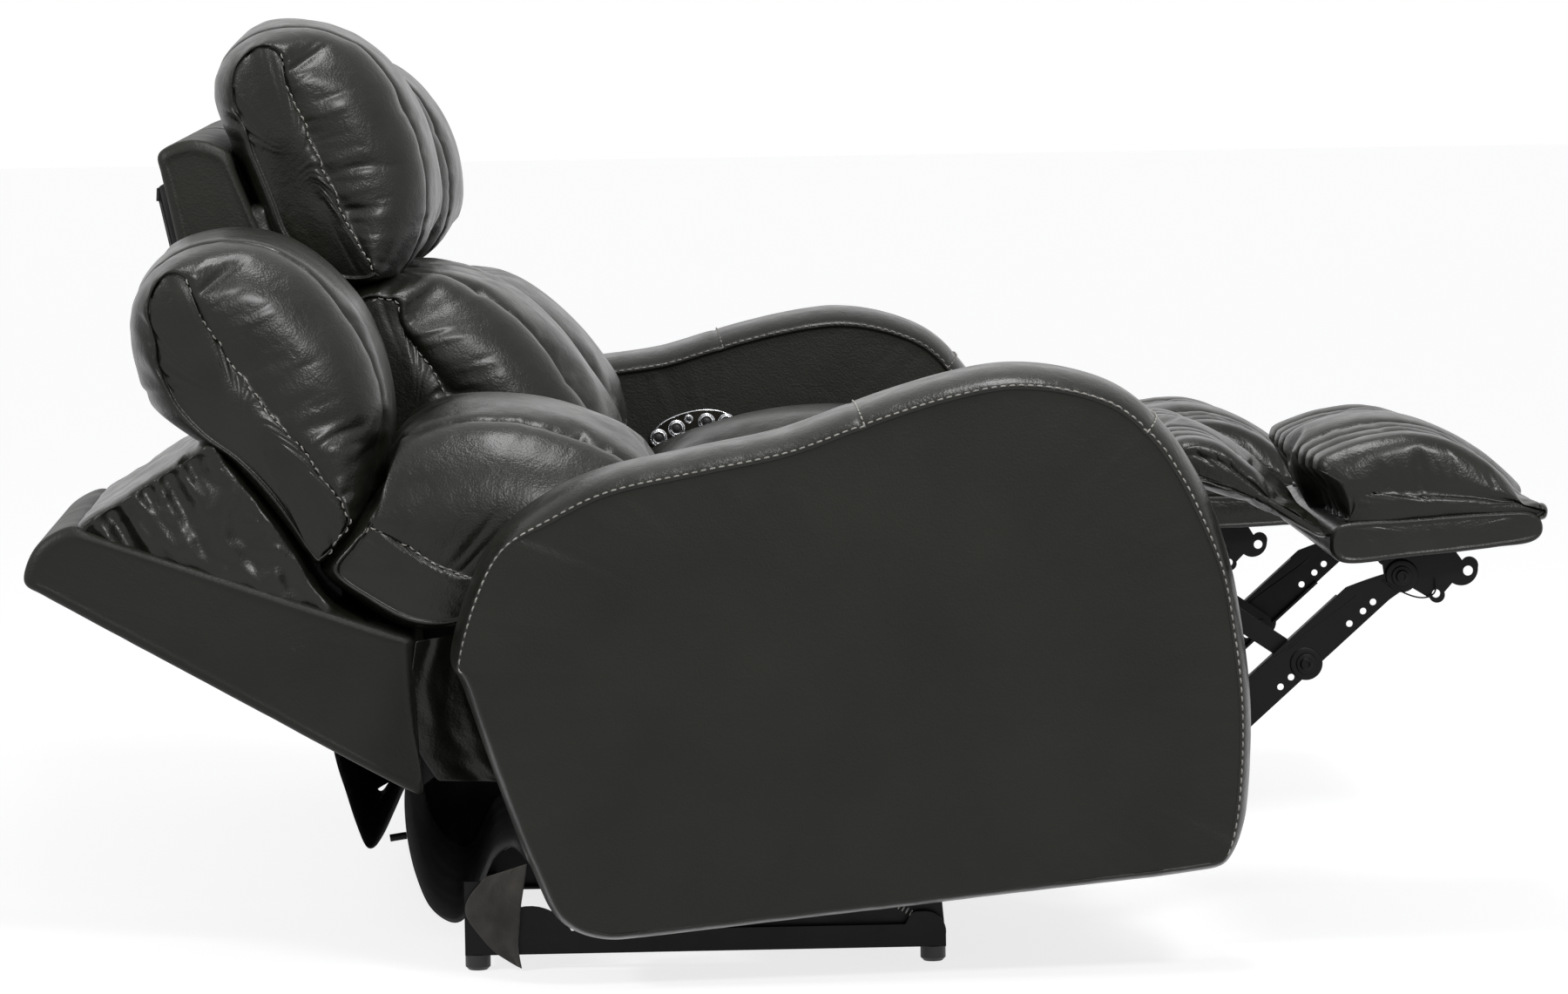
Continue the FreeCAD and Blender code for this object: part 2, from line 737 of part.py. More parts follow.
def footrest(tag, place):
    """The linkage that carries the footrest, its board, its pad and the middle pad."""
    radius = size("link_end_radius")
    blank = plate_body(tag + "_crank", strap(CRANK, ELBOW, radius), CRANK_LAYER, "Sizes.plate_gauge")
    shank = CRANK_LAYER + GAUGE / 2
    crank_pin = pin(tag + "_crank_pin", CRANK, shank, SIDE_PLATE + GAUGE + 2 - shank, "Sizes.pivot_radius")
    elbow_pin = pin(tag + "_elbow_pin", ELBOW, CHANNEL_LAYER - 4, shank - CHANNEL_LAYER + 4,
                    "Sizes.pivot_radius")
    tube = pin(tag + "_torque_tube", CRANK, -CRANK_LAYER, 2 * CRANK_LAYER, "Sizes.torque_tube_radius")
    side = fuse(tag + "_crank_side", [blank, crank_pin, elbow_pin])
    keep(tag + "_crank_links", group(tag + "_crank_links", [side, mirrored(side), tube]), place)

    keep(tag + "_channel_links", pair(tag + "_channel_links", channel_link(tag)), place)

    blank = plate_body(tag + "_cross", strap(CROSS, CROSS_END, size("cross_link_half_width")), CROSS_LAYER,
                       "Sizes.plate_gauge", [(CROSS, PIVOT_HOLE)])
    keep(tag + "_cross_links", pair(tag + "_cross_links", blank), place)

    bottom = size("board_bottom")
    bracket = [
        (BOARD.y + 22, bottom),
        (BOARD.y + 20, BOARD.z - 4),
        Via((BOARD.y + 6, BOARD.z - 17), (BOARD.y - 12, BOARD.z - 16)),
        (BOARD.y - 32, BOARD.z - 30),
        Via((BOARD.y - 42, BOARD.z - 36), (BOARD.y - 50, BOARD.z - 24)),
        (BOARD.y - 60, BOARD.z - 14),
        Via((BOARD.y - 84, BOARD.z - 14), (BOARD.y - 92, BOARD.z + 2)),
        Via((BOARD.y - 88, BOARD.z + 14), (BOARD.y - 74, BOARD.z + 12)),
        (BOARD.y - 66, bottom),
    ]
    eye = Vector(0, BOARD.y - 40, BOARD.z - 25)
    loop = Vector(0, BOARD.y - 80, BOARD.z - 1)
    blank = plate_body(tag + "_bracket", bracket, BRACKET_LAYER, "Sizes.plate_gauge",
                       [(BOARD, PIVOT_HOLE), (eye, "Sizes.pivot_radius"), (loop, "Sizes.pivot_radius + 1")])
    keep(tag + "_footrest_brackets", pair(tag + "_footrest_brackets", blank), place)

    half = HALF - 4.0
    front = size("board_front")
    rear = size("board_rear")
    board = doc.addObject("PartDesign::Body", tag + "_board")
    top = bottom + size("board_height")
    outline = [
        (rear, bottom + 12),
        (rear, top),
        (front, top),
        (front - 3, bottom + 16),
        (front + 16, bottom),
        (rear - 12, bottom),
    ]
    sketch = side_sketch(board, tag + "_board_outline", [outline], (), -half)
    pad = board.newObject("PartDesign::Pad", tag + "_board_pad")
    pad.Profile = sketch
    pad.Length = 2 * half
    board.Tip = pad
    keep(tag + "_footrest_board", board, place)
    stations = side_stations(half, 0.72, 190.0, dip=0.95)
    keep(tag + "_footrest_pad", cushion(tag + "_footrest_pad", PAD_OUTLINE, (-650, 433), stations), place)
    stations = side_stations(half - 6, 0.82, 190.0, dip=0.95)
    keep(tag + "_mid_pad", cushion(tag + "_mid_pad", MID_OUTLINE, (-440, 500), stations), place)


def channel_link(tag):
    """A wide pressed channel: web with holes and a groove, and a flange along each long edge."""
    width = size("channel_width")
    angle = -size("channel_angle")
    down = (ELBOW - BOARD).normalize()
    up = Vector(0, -down.z, down.y)

    def spot(distance, rise):
        point = BOARD + down * distance + up * rise
        return (point.y, point.z)

    length = size("channel_length")
    low = -width * 0.24
    high = low + width
    radius = size("link_end_radius")
    outline = [
        spot(length + radius, 0),
        Via(spot(length + radius * 0.7, high * 0.72), spot(length - 6, high)),
        spot(58, high),
        Via(spot(34, high * 0.72), spot(12, 15)),
        Via(spot(-15, 4), spot(0, -15)),
        spot(30, low),
        spot(length - 6, low),
        Via(spot(length + radius * 0.75, low * 0.6), spot(length + radius, 0)),
    ]
    holes = [BOARD + down * distance for distance in (46.0, 62.0, 84.0, 178.0, 195.0)]
    circles = [(point, "Sizes.pivot_radius - 1") for point in holes]
    circles.append((ELBOW, PIVOT_HOLE))
    web = plate_body(tag + "_channel_web", outline, CHANNEL_LAYER, "Sizes.plate_gauge", circles)
    depth = size("channel_flange")
    pieces = [web]
    for name, rise in (("upper", high - GAUGE), ("lower", low)):
        first = 72.0 if name == "upper" else 68.0
        flange = doc.addObject("Part::Box", "%s_channel_%s" % (tag, name))
        flange.Length = depth + GAUGE / 2
        flange.Width = length - 14 - first
        flange.setExpression("Height", "Sizes.plate_gauge")
        corner = BOARD + down * first + up * rise
        flange.Placement = Placement(Vector(CHANNEL_LAYER - depth, corner.y, corner.z),
                                     Rotation(Vector(1, 0, 0), angle))
        pieces.append(flange)
    pieces.append(pin(tag + "_board_pin", BOARD, BRACKET_LAYER - 3, CHANNEL_LAYER - BRACKET_LAYER + GAUGE + 5,
                      "Sizes.pivot_radius"))
    pieces.append(pin(tag + "_cross_pin", CROSS, CROSS_LAYER - 3, CHANNEL_LAYER - CROSS_LAYER + GAUGE + 3,
                      "Sizes.pivot_radius"))
    pieces.append(pin(tag + "_cross_spacer", CROSS, CROSS_LAYER + GAUGE + 0.5,
                      CHANNEL_LAYER - CROSS_LAYER - GAUGE, "Sizes.rivet_head_radius"))
    pieces.append(pin(tag + "_cross_bolt_head", CROSS, CHANNEL_LAYER + GAUGE - 0.5, 4, "Sizes.rivet_head_radius"))
    return fuse(tag + "_channel_side", pieces)


def back(tag, place, lumbar_place, lumbar_outline):
    """The back's shell and its lumbar cushion."""
    half = HALF - size("soft_gap")
    stations = [(-half, 0.985), (-half + 8, 1.0), (half - 8, 1.0), (half, 0.985)]
    shell = cushion(tag + "_shell", SHELL_OUTLINE, (640, 700), stations)
    stations = side_stations(half, 0.86, 196.0)
    lumbar = cushion(tag + "_lumbar", lumbar_outline, (520, 620), stations)
    if tag == "centre":
        heel = Vector(0, *BACK_HEEL)
        rear_top = Vector(0, *SHELL_OUTLINE[0])
        lean = math.degrees(math.atan2(rear_top.y - heel.y, rear_top.z - heel.z))
        start = along(heel, 90 - lean, size("back_panel_rise"))
        panel = block("centre_back_panel", (0, 0, 0), (2 * half - 6, 3, size("back_panel_height")))
        panel.Placement = Placement(Vector(3 - half, start.y + 0.2, start.z), Rotation(Vector(1, 0, 0), -lean))
        shell = group("centre_back_shell", [shell, panel])
    else:
        lumbar = cut(tag + "_lumbar_cut", lumbar, headrest_slots(tag))
    keep(tag + "_back_shell", shell, place)
    keep(tag + "_lumbar_cushion", lumbar, lumbar_place)


def headrest_slots(tag):
    """Room in the lumbar cushion for both headrest arms."""
    inner = size("headrest_slot_inner")
    outer = size("headrest_slot_outer")
    slot = block(tag + "_headrest_slot", (inner, HEAD.y - 45, HEAD.z - 28), (outer, HEAD.y + 35, HEAD.z + 62))
    return pair(tag + "_headrest_slots", slot)


def headrest(tag, place):
    """The headrest, and on a seat that moves the two steel arms that it is pushed onto."""
    stations = side_stations(HALF - size("soft_gap"), 0.8, 196.0)
    pillow = cushion(tag + "_pillow", HEADREST_OUTLINE, from_head(55, 262), stations)
    if tag != "centre":
        start = size("headrest_arm_at")
        gauge = size("headrest_arm_gauge")
        half_width = size("headrest_arm_half_width")
        play = 0.2
        blank = plate_body(tag + "_headrest_arm", strap(HEAD, ARM_TOP, half_width), start,
                           "Sizes.headrest_arm_gauge", [(HEAD, PIVOT_HOLE)])
        keep(tag + "_headrest_arms", pair(tag + "_headrest_arms", blank), place)
        room = plate_body(tag + "_headrest_pocket", strap(HEAD, ARM_TOP, half_width + play), start - play,
                          "Sizes.headrest_arm_gauge + 0.4")
        pillow = cut(tag + "_pillow_cut", pillow, pair(tag + "_headrest_pockets", room))
    keep(tag + "_headrest", pillow, place)


def back_brackets(tag, place):
    """The steel arms that hold the back on the side plates, and the lugs that hold the headrest."""
    arms = plate_body(tag + "_back_bracket", [
        (RECLINE.y - 17, RECLINE.z),
        Via((RECLINE.y, RECLINE.z - 17), (RECLINE.y + 16, RECLINE.z - 8)),
        (430, 400),
        (640, 439.3),
        (590, 486.7),
        (525, 548.3),
        (430, 470),
        (RECLINE.y, RECLINE.z + 17),
        Via((RECLINE.y - 12, RECLINE.z + 12), (RECLINE.y - 17, RECLINE.z)),
    ], CRANK_LAYER, "Sizes.plate_gauge")
    shank = CRANK_LAYER + GAUGE / 2
    hinge_pin = pin(tag + "_back_pin", RECLINE, shank, SIDE_PLATE + GAUGE + 2 - shank, "Sizes.pivot_radius")
    lug_at = size("headrest_arm_at") + size("headrest_arm_gauge") + 2
    lug = plate_body(tag + "_headrest_lug", [
        (HEAD.y + 2.8, HEAD.z - 22),
        (HEAD.y + 20.8, HEAD.z + 22),
        (HEAD.y + 2, HEAD.z + 22),
        (HEAD.y - 10, HEAD.z + 9),
        (HEAD.y - 11, HEAD.z - 8),
    ], lug_at, "Sizes.plate_gauge")
    stub = pin(tag + "_headrest_pin", HEAD, lug_at + GAUGE - 12, 12, "Sizes.pivot_radius")
    steel = [fuse(tag + "_back_arm", [arms, hinge_pin]), fuse(tag + "_headrest_hinge", [lug, stub])]
    both = steel + [mirrored(piece) for piece in steel]
    keep(tag + "_back_brackets", group(tag + "_back_brackets", both), place)


CURTAIN_PATH = [
    (253.4, 388),
    (253.4, 350),
    Via((262, 230), (303, 120)),
    Via((332, 147), (362, 104)),
    Via((402, 57), (438, 104)),
    (451, 186),
]


def curtain(tag, place):
    """The leather that closes the gap below the back, hanging in one deep fold and one hump."""
    path = doc.addObject("Sketcher::SketchObject", tag + "_curtain_path")
    path.addGeometry(outline_edges(CURTAIN_PATH, closed=False), False)
    path.Placement = Placement(Vector(-SIDE_PLATE + 8, 0, 0), SIDE_VIEW)
    skin = doc.addObject("Part::Offset2D", tag + "_curtain_skin")
    skin.Source = path
    skin.setExpression("Value", "Sizes.leather_thickness")
    skin.Fill = True
    skin.Mode = "Skin"
    sheet_of_leather = doc.addObject("Part::Extrusion", tag + "_curtain")
    sheet_of_leather.Base = skin
    sheet_of_leather.DirMode = "Custom"
    sheet_of_leather.Dir = Vector(1, 0, 0)
    sheet_of_leather.LengthFwd = 2 * (SIDE_PLATE - 8)
    sheet_of_leather.Solid = True
    keep(tag + "_curtain", sheet_of_leather, place)


def centre_seat():
    """The fixed seat in the middle: an upholstered box, its cushions and its back."""
    half = HALF - size("soft_gap") + 1.0
    front = size("seat_front") - 20
    low = RAIL_BOTTOM + size("front_lobe_height")
    shell_low = SHELL_OUTLINE[-1]
    shell_high = SHELL_OUTLINE[-2]
    riser_top = RAIL_BOTTOM + size("rail_riser_height")
    outline = [
        (front, low),
        (246, low),
        (254, riser_top),
        (size("rail_rear"), riser_top),
        (560, 300),
        shell_low,
        shell_high,
        (430, 470),
        (300, SEAT_BASE),
        (front, SEAT_BASE),
    ]
    box = doc.addObject("PartDesign::Body", "centre_seat_box")
    sketch = side_sketch(box, "centre_seat_box_outline", [outline], (), -half)
    pad = box.newObject("PartDesign::Pad", "centre_seat_box_pad")
    pad.Profile = sketch
    pad.Length = 2 * half
    box.Tip = pad
    keep("centre_seat_box", box)
    seat_cushion("centre", Placement())
    back("centre", Placement(), Placement(), CENTRE_LUMBAR_OUTLINE)
    headrest("centre", Placement())


def recliner(tag, side, reclined, head_turn):
    """One moving seat. Reclined runs from 0, upright, to 1, flat; the headrest turns forward."""
    at = shift(side * PITCH, 0, 0)
    carriage = at.multiply(shift(0, -size("glide") * reclined, 0))
    seat = carriage.multiply(turn(-size("tilt_angle") * reclined, TILT))
    rear = seat.multiply(turn(-size("recline_angle") * reclined, RECLINE))
    head = rear.multiply(turn(head_turn, HEAD))
    lumbar = rear.multiply(turn(head_turn * size("lumbar_angle") / size("headrest_angle"), LUMBAR))
    seat_steel(tag, carriage, seat)
    springs(tag, seat)
    seat_cushion(tag, seat)
    arm(tag, side, seat)
    control(tag, side, seat)
    drives(tag, seat)
    footrest(tag, seat)
    back(tag, rear, lumbar, LUMBAR_OUTLINE)
    back_brackets(tag, rear)
    headrest(tag, head)


base()
centre_seat()
recliner("right", -1, 1.0, size("headrest_angle"))
recliner("left", 1, 0.0, size("left_headrest_angle"))
curtain("right", parts["right_seat_frame"][1])
doc.recompute()

# Each seat is carried to the pose that it is shown in, and the frame's origin to the sofa's middle.
centring = shift(0, size("origin_back"), 0)
for label, (piece, place) in parts.items():
    piece.Placement = centring.multiply(place).multiply(piece.Placement)
doc.recompute()

failed = [item.Label for item in doc.Objects if "Invalid" in item.State or "Error" in item.State]
if failed:
    raise RuntimeError("objects that failed: %s" % ", ".join(failed))
for label, (piece, place) in parts.items():
    if piece.Shape.isNull() or not piece.Shape.isValid():
        raise RuntimeError("%s has no valid shape" % label)

os.makedirs("parts", exist_ok=True)
for label, (piece, place) in parts.items():
    piece.Shape.exportStep(os.path.join("parts", label + ".step"))
print("%d parts written" % len(parts))
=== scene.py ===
"""Looks of a three-seat power reclining sofa in black leather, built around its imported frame.

Metres, +Z up, the front faces -Y. The padded pieces are drawn in millimetres in the upright, closed
seat, as (back, height), and are carried to the pose in which each seat is shown.
"""
from __future__ import annotations

import json
import logging
import math
from dataclasses import dataclass
from enum import Enum
from typing import Callable, Sequence

import bpy
import numpy as np
from mathutils import Matrix, Vector, noise


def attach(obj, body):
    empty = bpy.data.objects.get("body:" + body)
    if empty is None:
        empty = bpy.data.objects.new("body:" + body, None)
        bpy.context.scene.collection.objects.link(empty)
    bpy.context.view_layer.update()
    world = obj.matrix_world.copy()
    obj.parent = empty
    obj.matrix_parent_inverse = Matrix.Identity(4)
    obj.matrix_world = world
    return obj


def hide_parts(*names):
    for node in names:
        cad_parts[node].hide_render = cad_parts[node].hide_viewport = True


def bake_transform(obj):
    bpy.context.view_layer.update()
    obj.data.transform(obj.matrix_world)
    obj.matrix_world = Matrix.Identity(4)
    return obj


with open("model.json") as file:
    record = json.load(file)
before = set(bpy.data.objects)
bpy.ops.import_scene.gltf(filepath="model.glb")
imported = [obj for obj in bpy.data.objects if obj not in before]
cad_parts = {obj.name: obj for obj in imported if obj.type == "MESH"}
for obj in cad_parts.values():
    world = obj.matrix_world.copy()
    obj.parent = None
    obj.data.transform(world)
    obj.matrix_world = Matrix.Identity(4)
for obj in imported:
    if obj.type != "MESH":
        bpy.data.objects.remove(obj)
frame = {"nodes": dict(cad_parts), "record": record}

log = logging.getLogger("sofa")
MM = 0.001
TINY = 1e-9

Spot = tuple[float, float]
Line = Sequence[Spot]
Point = tuple[float, float, float]
Spoke = tuple[float, float, float, float, float]
Faces = Sequence[Sequence[int]]

# Places and angles that the frame gives, in millimetres and degrees of the upright seat.
ORIGIN_BACK = 12.192
SEAT_PITCH = 586.0
HALF_SEAT = 291.0
HALF_ARM = 94.0
GLIDE = 140.0
TILT_ANGLE = 3.8
RECLINE_ANGLE = 44.6
LUMBAR_SHARE = 15.0 / 35.0
TILT = (390.0, 150.0)
RECLINE = (347.0, 424.0)
HEAD = (545.0, 668.0)
HEAD_RAISED = 35.0
LUMBAR = (513.0, 562.0)
BOARD_TOP = 432.3

# Where the leather behind a headrest starts to bend and has bent, and the same for the raised headrest.
GUSSET_START = (590.0, 770.0)
GUSSET_END = (505.0, 815.0)
RAISED_START = (545.0, 705.0)
RAISED_END = (490.0, 800.0)
# The left headrest is shown lower: its height is this share of the others', above its foot.
LOWER_SHARE = 0.85
HEADREST_FOOT = 780.0
# Depths of a seam across a band and beside a side panel, and the width below which folds fade.
SEAM_DEPTH = 2.2
SEAM_GROOVE = 3.5
FOLD_WIDTH = 4.4
# A topstitch: pitch, length, thickness, and how far its middle stands off the leather.
STITCH_PITCH = 10.5
STITCH_LONG = 7.0
STITCH_THICK = 2.2
STITCH_LIFT = 1.6
# Its form: sides round it, place and thickness of its rings as shares, and how far its ends dip.
STITCH_SIDES = 6
STITCH_RINGS = ((-1.0, 0.25), (-0.8, 0.85), (0.0, 1.0), (0.8, 0.85), (1.0, 0.25))
STITCH_ARCH = 0.9
SHEET_THICK = 1.6


def about(angle: float, pivot: Spot) -> Matrix:
    """A turn about the X direction through a pivot.

    Args:
        angle: degrees; positive brings what is above the pivot forwards.
        pivot: (back, height) in millimetres.

    Returns:
        The turn as a matrix, in metres.
    """
    spot = Vector((0.0, pivot[0] * MM, pivot[1] * MM))
    return Matrix.Translation(spot) @ Matrix.Rotation(math.radians(angle), 4, "X") @ Matrix.Translation(-spot)


def shift(x: float, y: float, z: float) -> Matrix:
    """A move by millimetres."""
    return Matrix.Translation(Vector((x, y, z)) * MM)


def wander(*place: float) -> float:
    """Smooth noise, from -1 to 1, at a place given in the noise's own steps."""
    return noise.noise(Vector(place))


@dataclass(frozen=True)
class SeatPlace:
    """Where one seat stands, and the pose that it is shown in."""

    tag: str
    side: int
    reclined: float
    head_turn: float

    def carriage(self) -> Matrix:
        """Place of what glides on the base rails."""
        return Matrix.Translation((self.side * SEAT_PITCH * MM,
                                   (ORIGIN_BACK - GLIDE * self.reclined) * MM, 0.0))

    def seat(self) -> Matrix:
        """Place of the seat, the arm and the footrest."""
        return self.carriage() @ about(-TILT_ANGLE * self.reclined, TILT)

    def rear(self) -> Matrix:
        """Place of the back's shell."""
        return self.seat() @ about(-RECLINE_ANGLE * self.reclined, RECLINE)

    def head(self) -> Matrix:
        """Place of the headrest."""
        return self.rear() @ about(self.head_turn, HEAD)

    def lumbar(self) -> Matrix:
        """Place of the lumbar cushion."""
        return self.rear() @ about(self.head_turn * LUMBAR_SHARE, LUMBAR)


RIGHT = SeatPlace("right", -1, 1.0, 35.0)
CENTRE = SeatPlace("centre", 0, 0.0, 0.0)
LEFT = SeatPlace("left", 1, 0.0, 6.0)


# Finishes.

# How much broader than the broad relief the drifts of tone and of gloss are, the part of a noise
# texture's range that they use, and a wave texture's scale for one band per unit.
TONE_SPREAD = 6
GLOSS_SPREAD = 2
DRIFT = (0.3, 0.7)
BAND = 0.314


def linear(colour: str) -> tuple[float, float, float, float]:
    """A colour written as sRGB hex, as the linear colour that shaders read.

    Args:
        colour: six hex digits.

    Returns:
        Linear red, green, blue and alpha.
    """
    values = [int(colour[i:i + 2], 16) / 255 for i in (0, 2, 4)]
    parts = [v / 12.92 if v <= 0.04045 else ((v + 0.055) / 1.055) ** 2.4 for v in values]
    return parts[0], parts[1], parts[2], 1.0


def put(tree: bpy.types.NodeTree, kind: str, settings: dict | None = None, values: dict | None = None,
        links: dict | None = None) -> bpy.types.Node:
    """Add a shader node with its settings, socket values and incoming links.

    Args:
        tree: the material's node tree.
        kind: the node's type.
        settings: properties of the node.
        values: default values by socket name or number.
        links: (node, output name) by socket name or number.

    Returns:
        The new node.
    """
    node = tree.nodes.new(kind)
    for name, value in (settings or {}).items():
        setattr(node, name, value)
    for name, value in (values or {}).items():
        node.inputs[name].default_value = value
    for name, (source, output) in (links or {}).items():
        tree.links.new(source.outputs[output], node.inputs[name])
    return node


@dataclass(frozen=True)
class Finish:
    """A finish with a colour that drifts between two tones, and a fine and a broad relief."""

    title: str
    dark: str
    light: str
    rough: Spot
    grain_mm: float
    grain_depth_mm: float
    broad_mm: float
    broad_depth_mm: float
    metallic: float = 0.0
    coat: float = 0.0
    coat_rough: float = 0.3
    ior: float = 1.5
    sheen: float = 0.0

    def relief(self, tree: bpy.types.NodeTree, place: bpy.types.Node) -> bpy.types.Node:
        """The fine relief: pebbled cells, as pressed or grown in the surface.

        Args:
            tree: the material's node tree.
            place: the node that gives the pattern's coordinates.

        Returns:
            A node whose first output is the relief's height.
        """
        return put(tree, "ShaderNodeTexVoronoi", {"feature": "SMOOTH_F1"},
                   {"Scale": 1 / (self.grain_mm * MM), "Smoothness": 0.6}, {"Vector": (place, "Object")})

    def make(self) -> bpy.types.Material:
        """Build the material, or give the one already built.

        Returns:
            The material.
        """
        made = bpy.data.materials.get(self.title)
        if made:
            return made
        made = bpy.data.materials.new(self.title)
        made.use_nodes = True
        tree = made.node_tree
        shader = tree.nodes["Principled BSDF"]
        spot = put(tree, "ShaderNodeTexCoord")
        at = {"Vector": (spot, "Object")}
        tone = put(tree, "ShaderNodeTexNoise", None, {"Scale": 1 / (self.broad_mm * TONE_SPREAD * MM), "Detail": 4.0},
                   at)
        ramp = put(tree, "ShaderNodeValToRGB", links={"Fac": (tone, 0)})
        for end, position, colour in zip(ramp.color_ramp.elements, DRIFT, (self.dark, self.light)):
            end.position, end.color = position, linear(colour)
        gloss = put(tree, "ShaderNodeTexNoise", None, {"Scale": 1 / (self.broad_mm * GLOSS_SPREAD * MM), "Detail": 3.0},
                    at)
        rough = put(tree, "ShaderNodeMapRange", None, {"To Min": self.rough[0], "To Max": self.rough[1],
                                                       "From Min": DRIFT[0], "From Max": DRIFT[1]},
                    {"Value": (gloss, 0)})
        broad = put(tree, "ShaderNodeTexNoise", None, {"Scale": 1 / (self.broad_mm * MM), "Detail": 5.0,
                                                       "Distortion": 0.6}, at)
        low = put(tree, "ShaderNodeBump", None, {"Strength": 1.0, "Distance": self.broad_depth_mm * MM},
                  {"Height": (broad, 0)})
        high = put(tree, "ShaderNodeBump", None, {"Strength": 1.0, "Distance": self.grain_depth_mm * MM},
                   {"Height": (self.relief(tree, spot), 0), "Normal": (low, 0)})
        for source, name in ((ramp, "Base Color"), (rough, "Roughness"), (high, "Normal")):
            tree.links.new(source.outputs[0], shader.inputs[name])
        looks = {"Metallic": self.metallic, "Coat Weight": self.coat, "Coat Roughness": self.coat_rough,
                 "Sheen Weight": self.sheen}
        if not self.metallic:
            looks["IOR"] = self.ior
        for name, value in looks.items():
            shader.inputs[name].default_value = value
        return made


@dataclass(frozen=True)
class WovenFinish(Finish):
    """A woven or twisted finish: its fine relief is threads, not cells."""

    def relief(self, tree: bpy.types.NodeTree, place: bpy.types.Node) -> bpy.types.Node:
        """The fine relief: two sets of threads that cross.

        Args:
            tree: the material's node tree.
            place: the node that gives the pattern's coordinates.

        Returns:
            A node whose first output is the relief's height.
        """
        sets = [put(tree, "ShaderNodeTexWave", {"bands_direction": way}, {"Scale": BAND / (self.grain_mm * MM)},
                    {"Vector": (place, "Object")}) for way in ("X", "Y")]
        return put(tree, "ShaderNodeMath", {"operation": "MULTIPLY"}, links={0: (sets[0], 1), 1: (sets[1], 1)})


# Finished cowhide, pigmented and lightly embossed: broad soft gloss, a pebbled grain and short creases.
# The real grain is about 1.2 mm; it is drawn at 2.6 mm, so that it shows.
LEATHER = Finish("cushion_leather_semi_gloss", "10100d", "1b1b16", (0.28, 0.4), 2.6, 0.26, 16.0, 1.0,
                 coat=0.15, coat_rough=0.2, ior=1.31)
# The same hide stretched flat over a board: less gloss, a drier grain and no creases.
PANEL_LEATHER = Finish("arm_leather_stretched", "1c1d19", "23241f", (0.4, 0.52), 2.8, 0.34, 26.0, 0.6,
                       coat=0.02, coat_rough=0.35, ior=1.27)
# Suede side of the hide, which the right curtain's hanging tail wears.
FLESH_SIDE = Finish("leather_flesh_side", "3a3835", "55514c", (0.8, 0.95), 1.2, 0.3, 9.0, 0.6, sheen=0.2)
# Bonded polyester thread, light grey, three ply: the twist shows as slanted ridges.
THREAD = WovenFinish("topstitch_thread_grey", "77746f", "9c9993", (0.55, 0.7), 0.9, 0.2, 8.0, 0.1, sheen=0.1)
# Powder-coated pressed steel: an even satin black with a slight orange peel.
POWDER_COAT = Finish("powder_coated_steel_black", "080808", "101010", (0.3, 0.42), 1.6, 0.06, 20.0, 0.08,
                     ior=1.24, coat=0.03)
# Zinc-plated fasteners and spring wire: dull grey metal.
ZINC = Finish("zinc_plated_steel", "8b8a86", "a9a8a4", (0.32, 0.5), 1.2, 0.05, 10.0, 0.05, metallic=1.0)
# Die-cast zinc, polished and chrome plated: a mirror with faint haze.
CHROME = Finish("polished_chrome_plate", "c9cacc", "dfe0e2", (0.06, 0.14), 3.0, 0.01, 14.0, 0.04, metallic=1.0)
# The plate between the chrome rims: black nickel, brushed and dark.
NICKEL = Finish("black_nickel_plate", "3b3833", "4a463f", (0.16, 0.26), 2.0, 0.03, 12.0, 0.05, metallic=1.0)
# Black glass-filled nylon of the drives: matt, moulded with a spark-eroded texture.
NYLON = Finish("moulded_nylon_black", "151515", "1e1e1e", (0.5, 0.64), 1.4, 0.12, 12.0, 0.1)
# Polypropylene feet and button centres.
POLYPROPYLENE = Finish("moulded_polypropylene_black", "0f0f0f", "181818", (0.4, 0.55), 1.8, 0.08, 12.0, 0.08)
# Cambric and lining cloth, close plain weave, drawn at 2 mm so that the threads show.
LINING = WovenFinish("lining_cloth_black", "141414", "1f1f1f", (0.75, 0.9), 2.0, 0.25, 20.0, 0.6, sheen=0.15)


def wear(piece: bpy.types.Object, finish: Finish) -> None:
    """Give a piece one finish all over.

    Args:
        piece: the piece or node.
        finish: what it wears.
    """
    slots = piece.data.materials
    if not slots:
        slots.append(finish.make())
    for index in range(len(slots)):
        slots[index] = finish.make()


# Meshes.

def only(piece: bpy.types.Object | None) -> None:
    """Select one piece alone and make it the active one, or select nothing.

    Args:
        piece: the piece, or None.
    """
    bpy.ops.object.select_all(action="DESELECT")
    if piece:
        piece.select_set(True)
        bpy.context.view_layer.objects.active = piece


def apply_all(piece: bpy.types.Object) -> None:
    """Apply every modifier of a piece, in order.

    Args:
        piece: the piece.
    """
    only(piece)
    for modifier in list(piece.modifiers):
        bpy.ops.object.modifier_apply(modifier=modifier.name)


def new_piece(name: str, points: np.ndarray, faces: Faces) -> bpy.types.Object:
    """A mesh object from its points and faces.

    Args:
        name: the piece's name.
        points: places in metres, one row each.
        faces: corner numbers of each face.

    Returns:
        The piece, at the origin.
    """
    mesh = bpy.data.meshes.new(name)
    mesh.from_pydata([tuple(p) for p in points], [], [tuple(f) for f in faces])
    mesh.update()
    piece = bpy.data.objects.new(name, mesh)
    bpy.context.scene.collection.objects.link(piece)
    return piece


def named(name: str) -> bpy.types.Object:
    """The object that an operator has just added, named, with its place and size applied.

    Args:
        name: its name.

    Returns:
        The object.
    """
    piece = bpy.context.active_object
    piece.name = name
    bpy.ops.object.transform_apply(location=True, rotation=True, scale=True)
    return piece


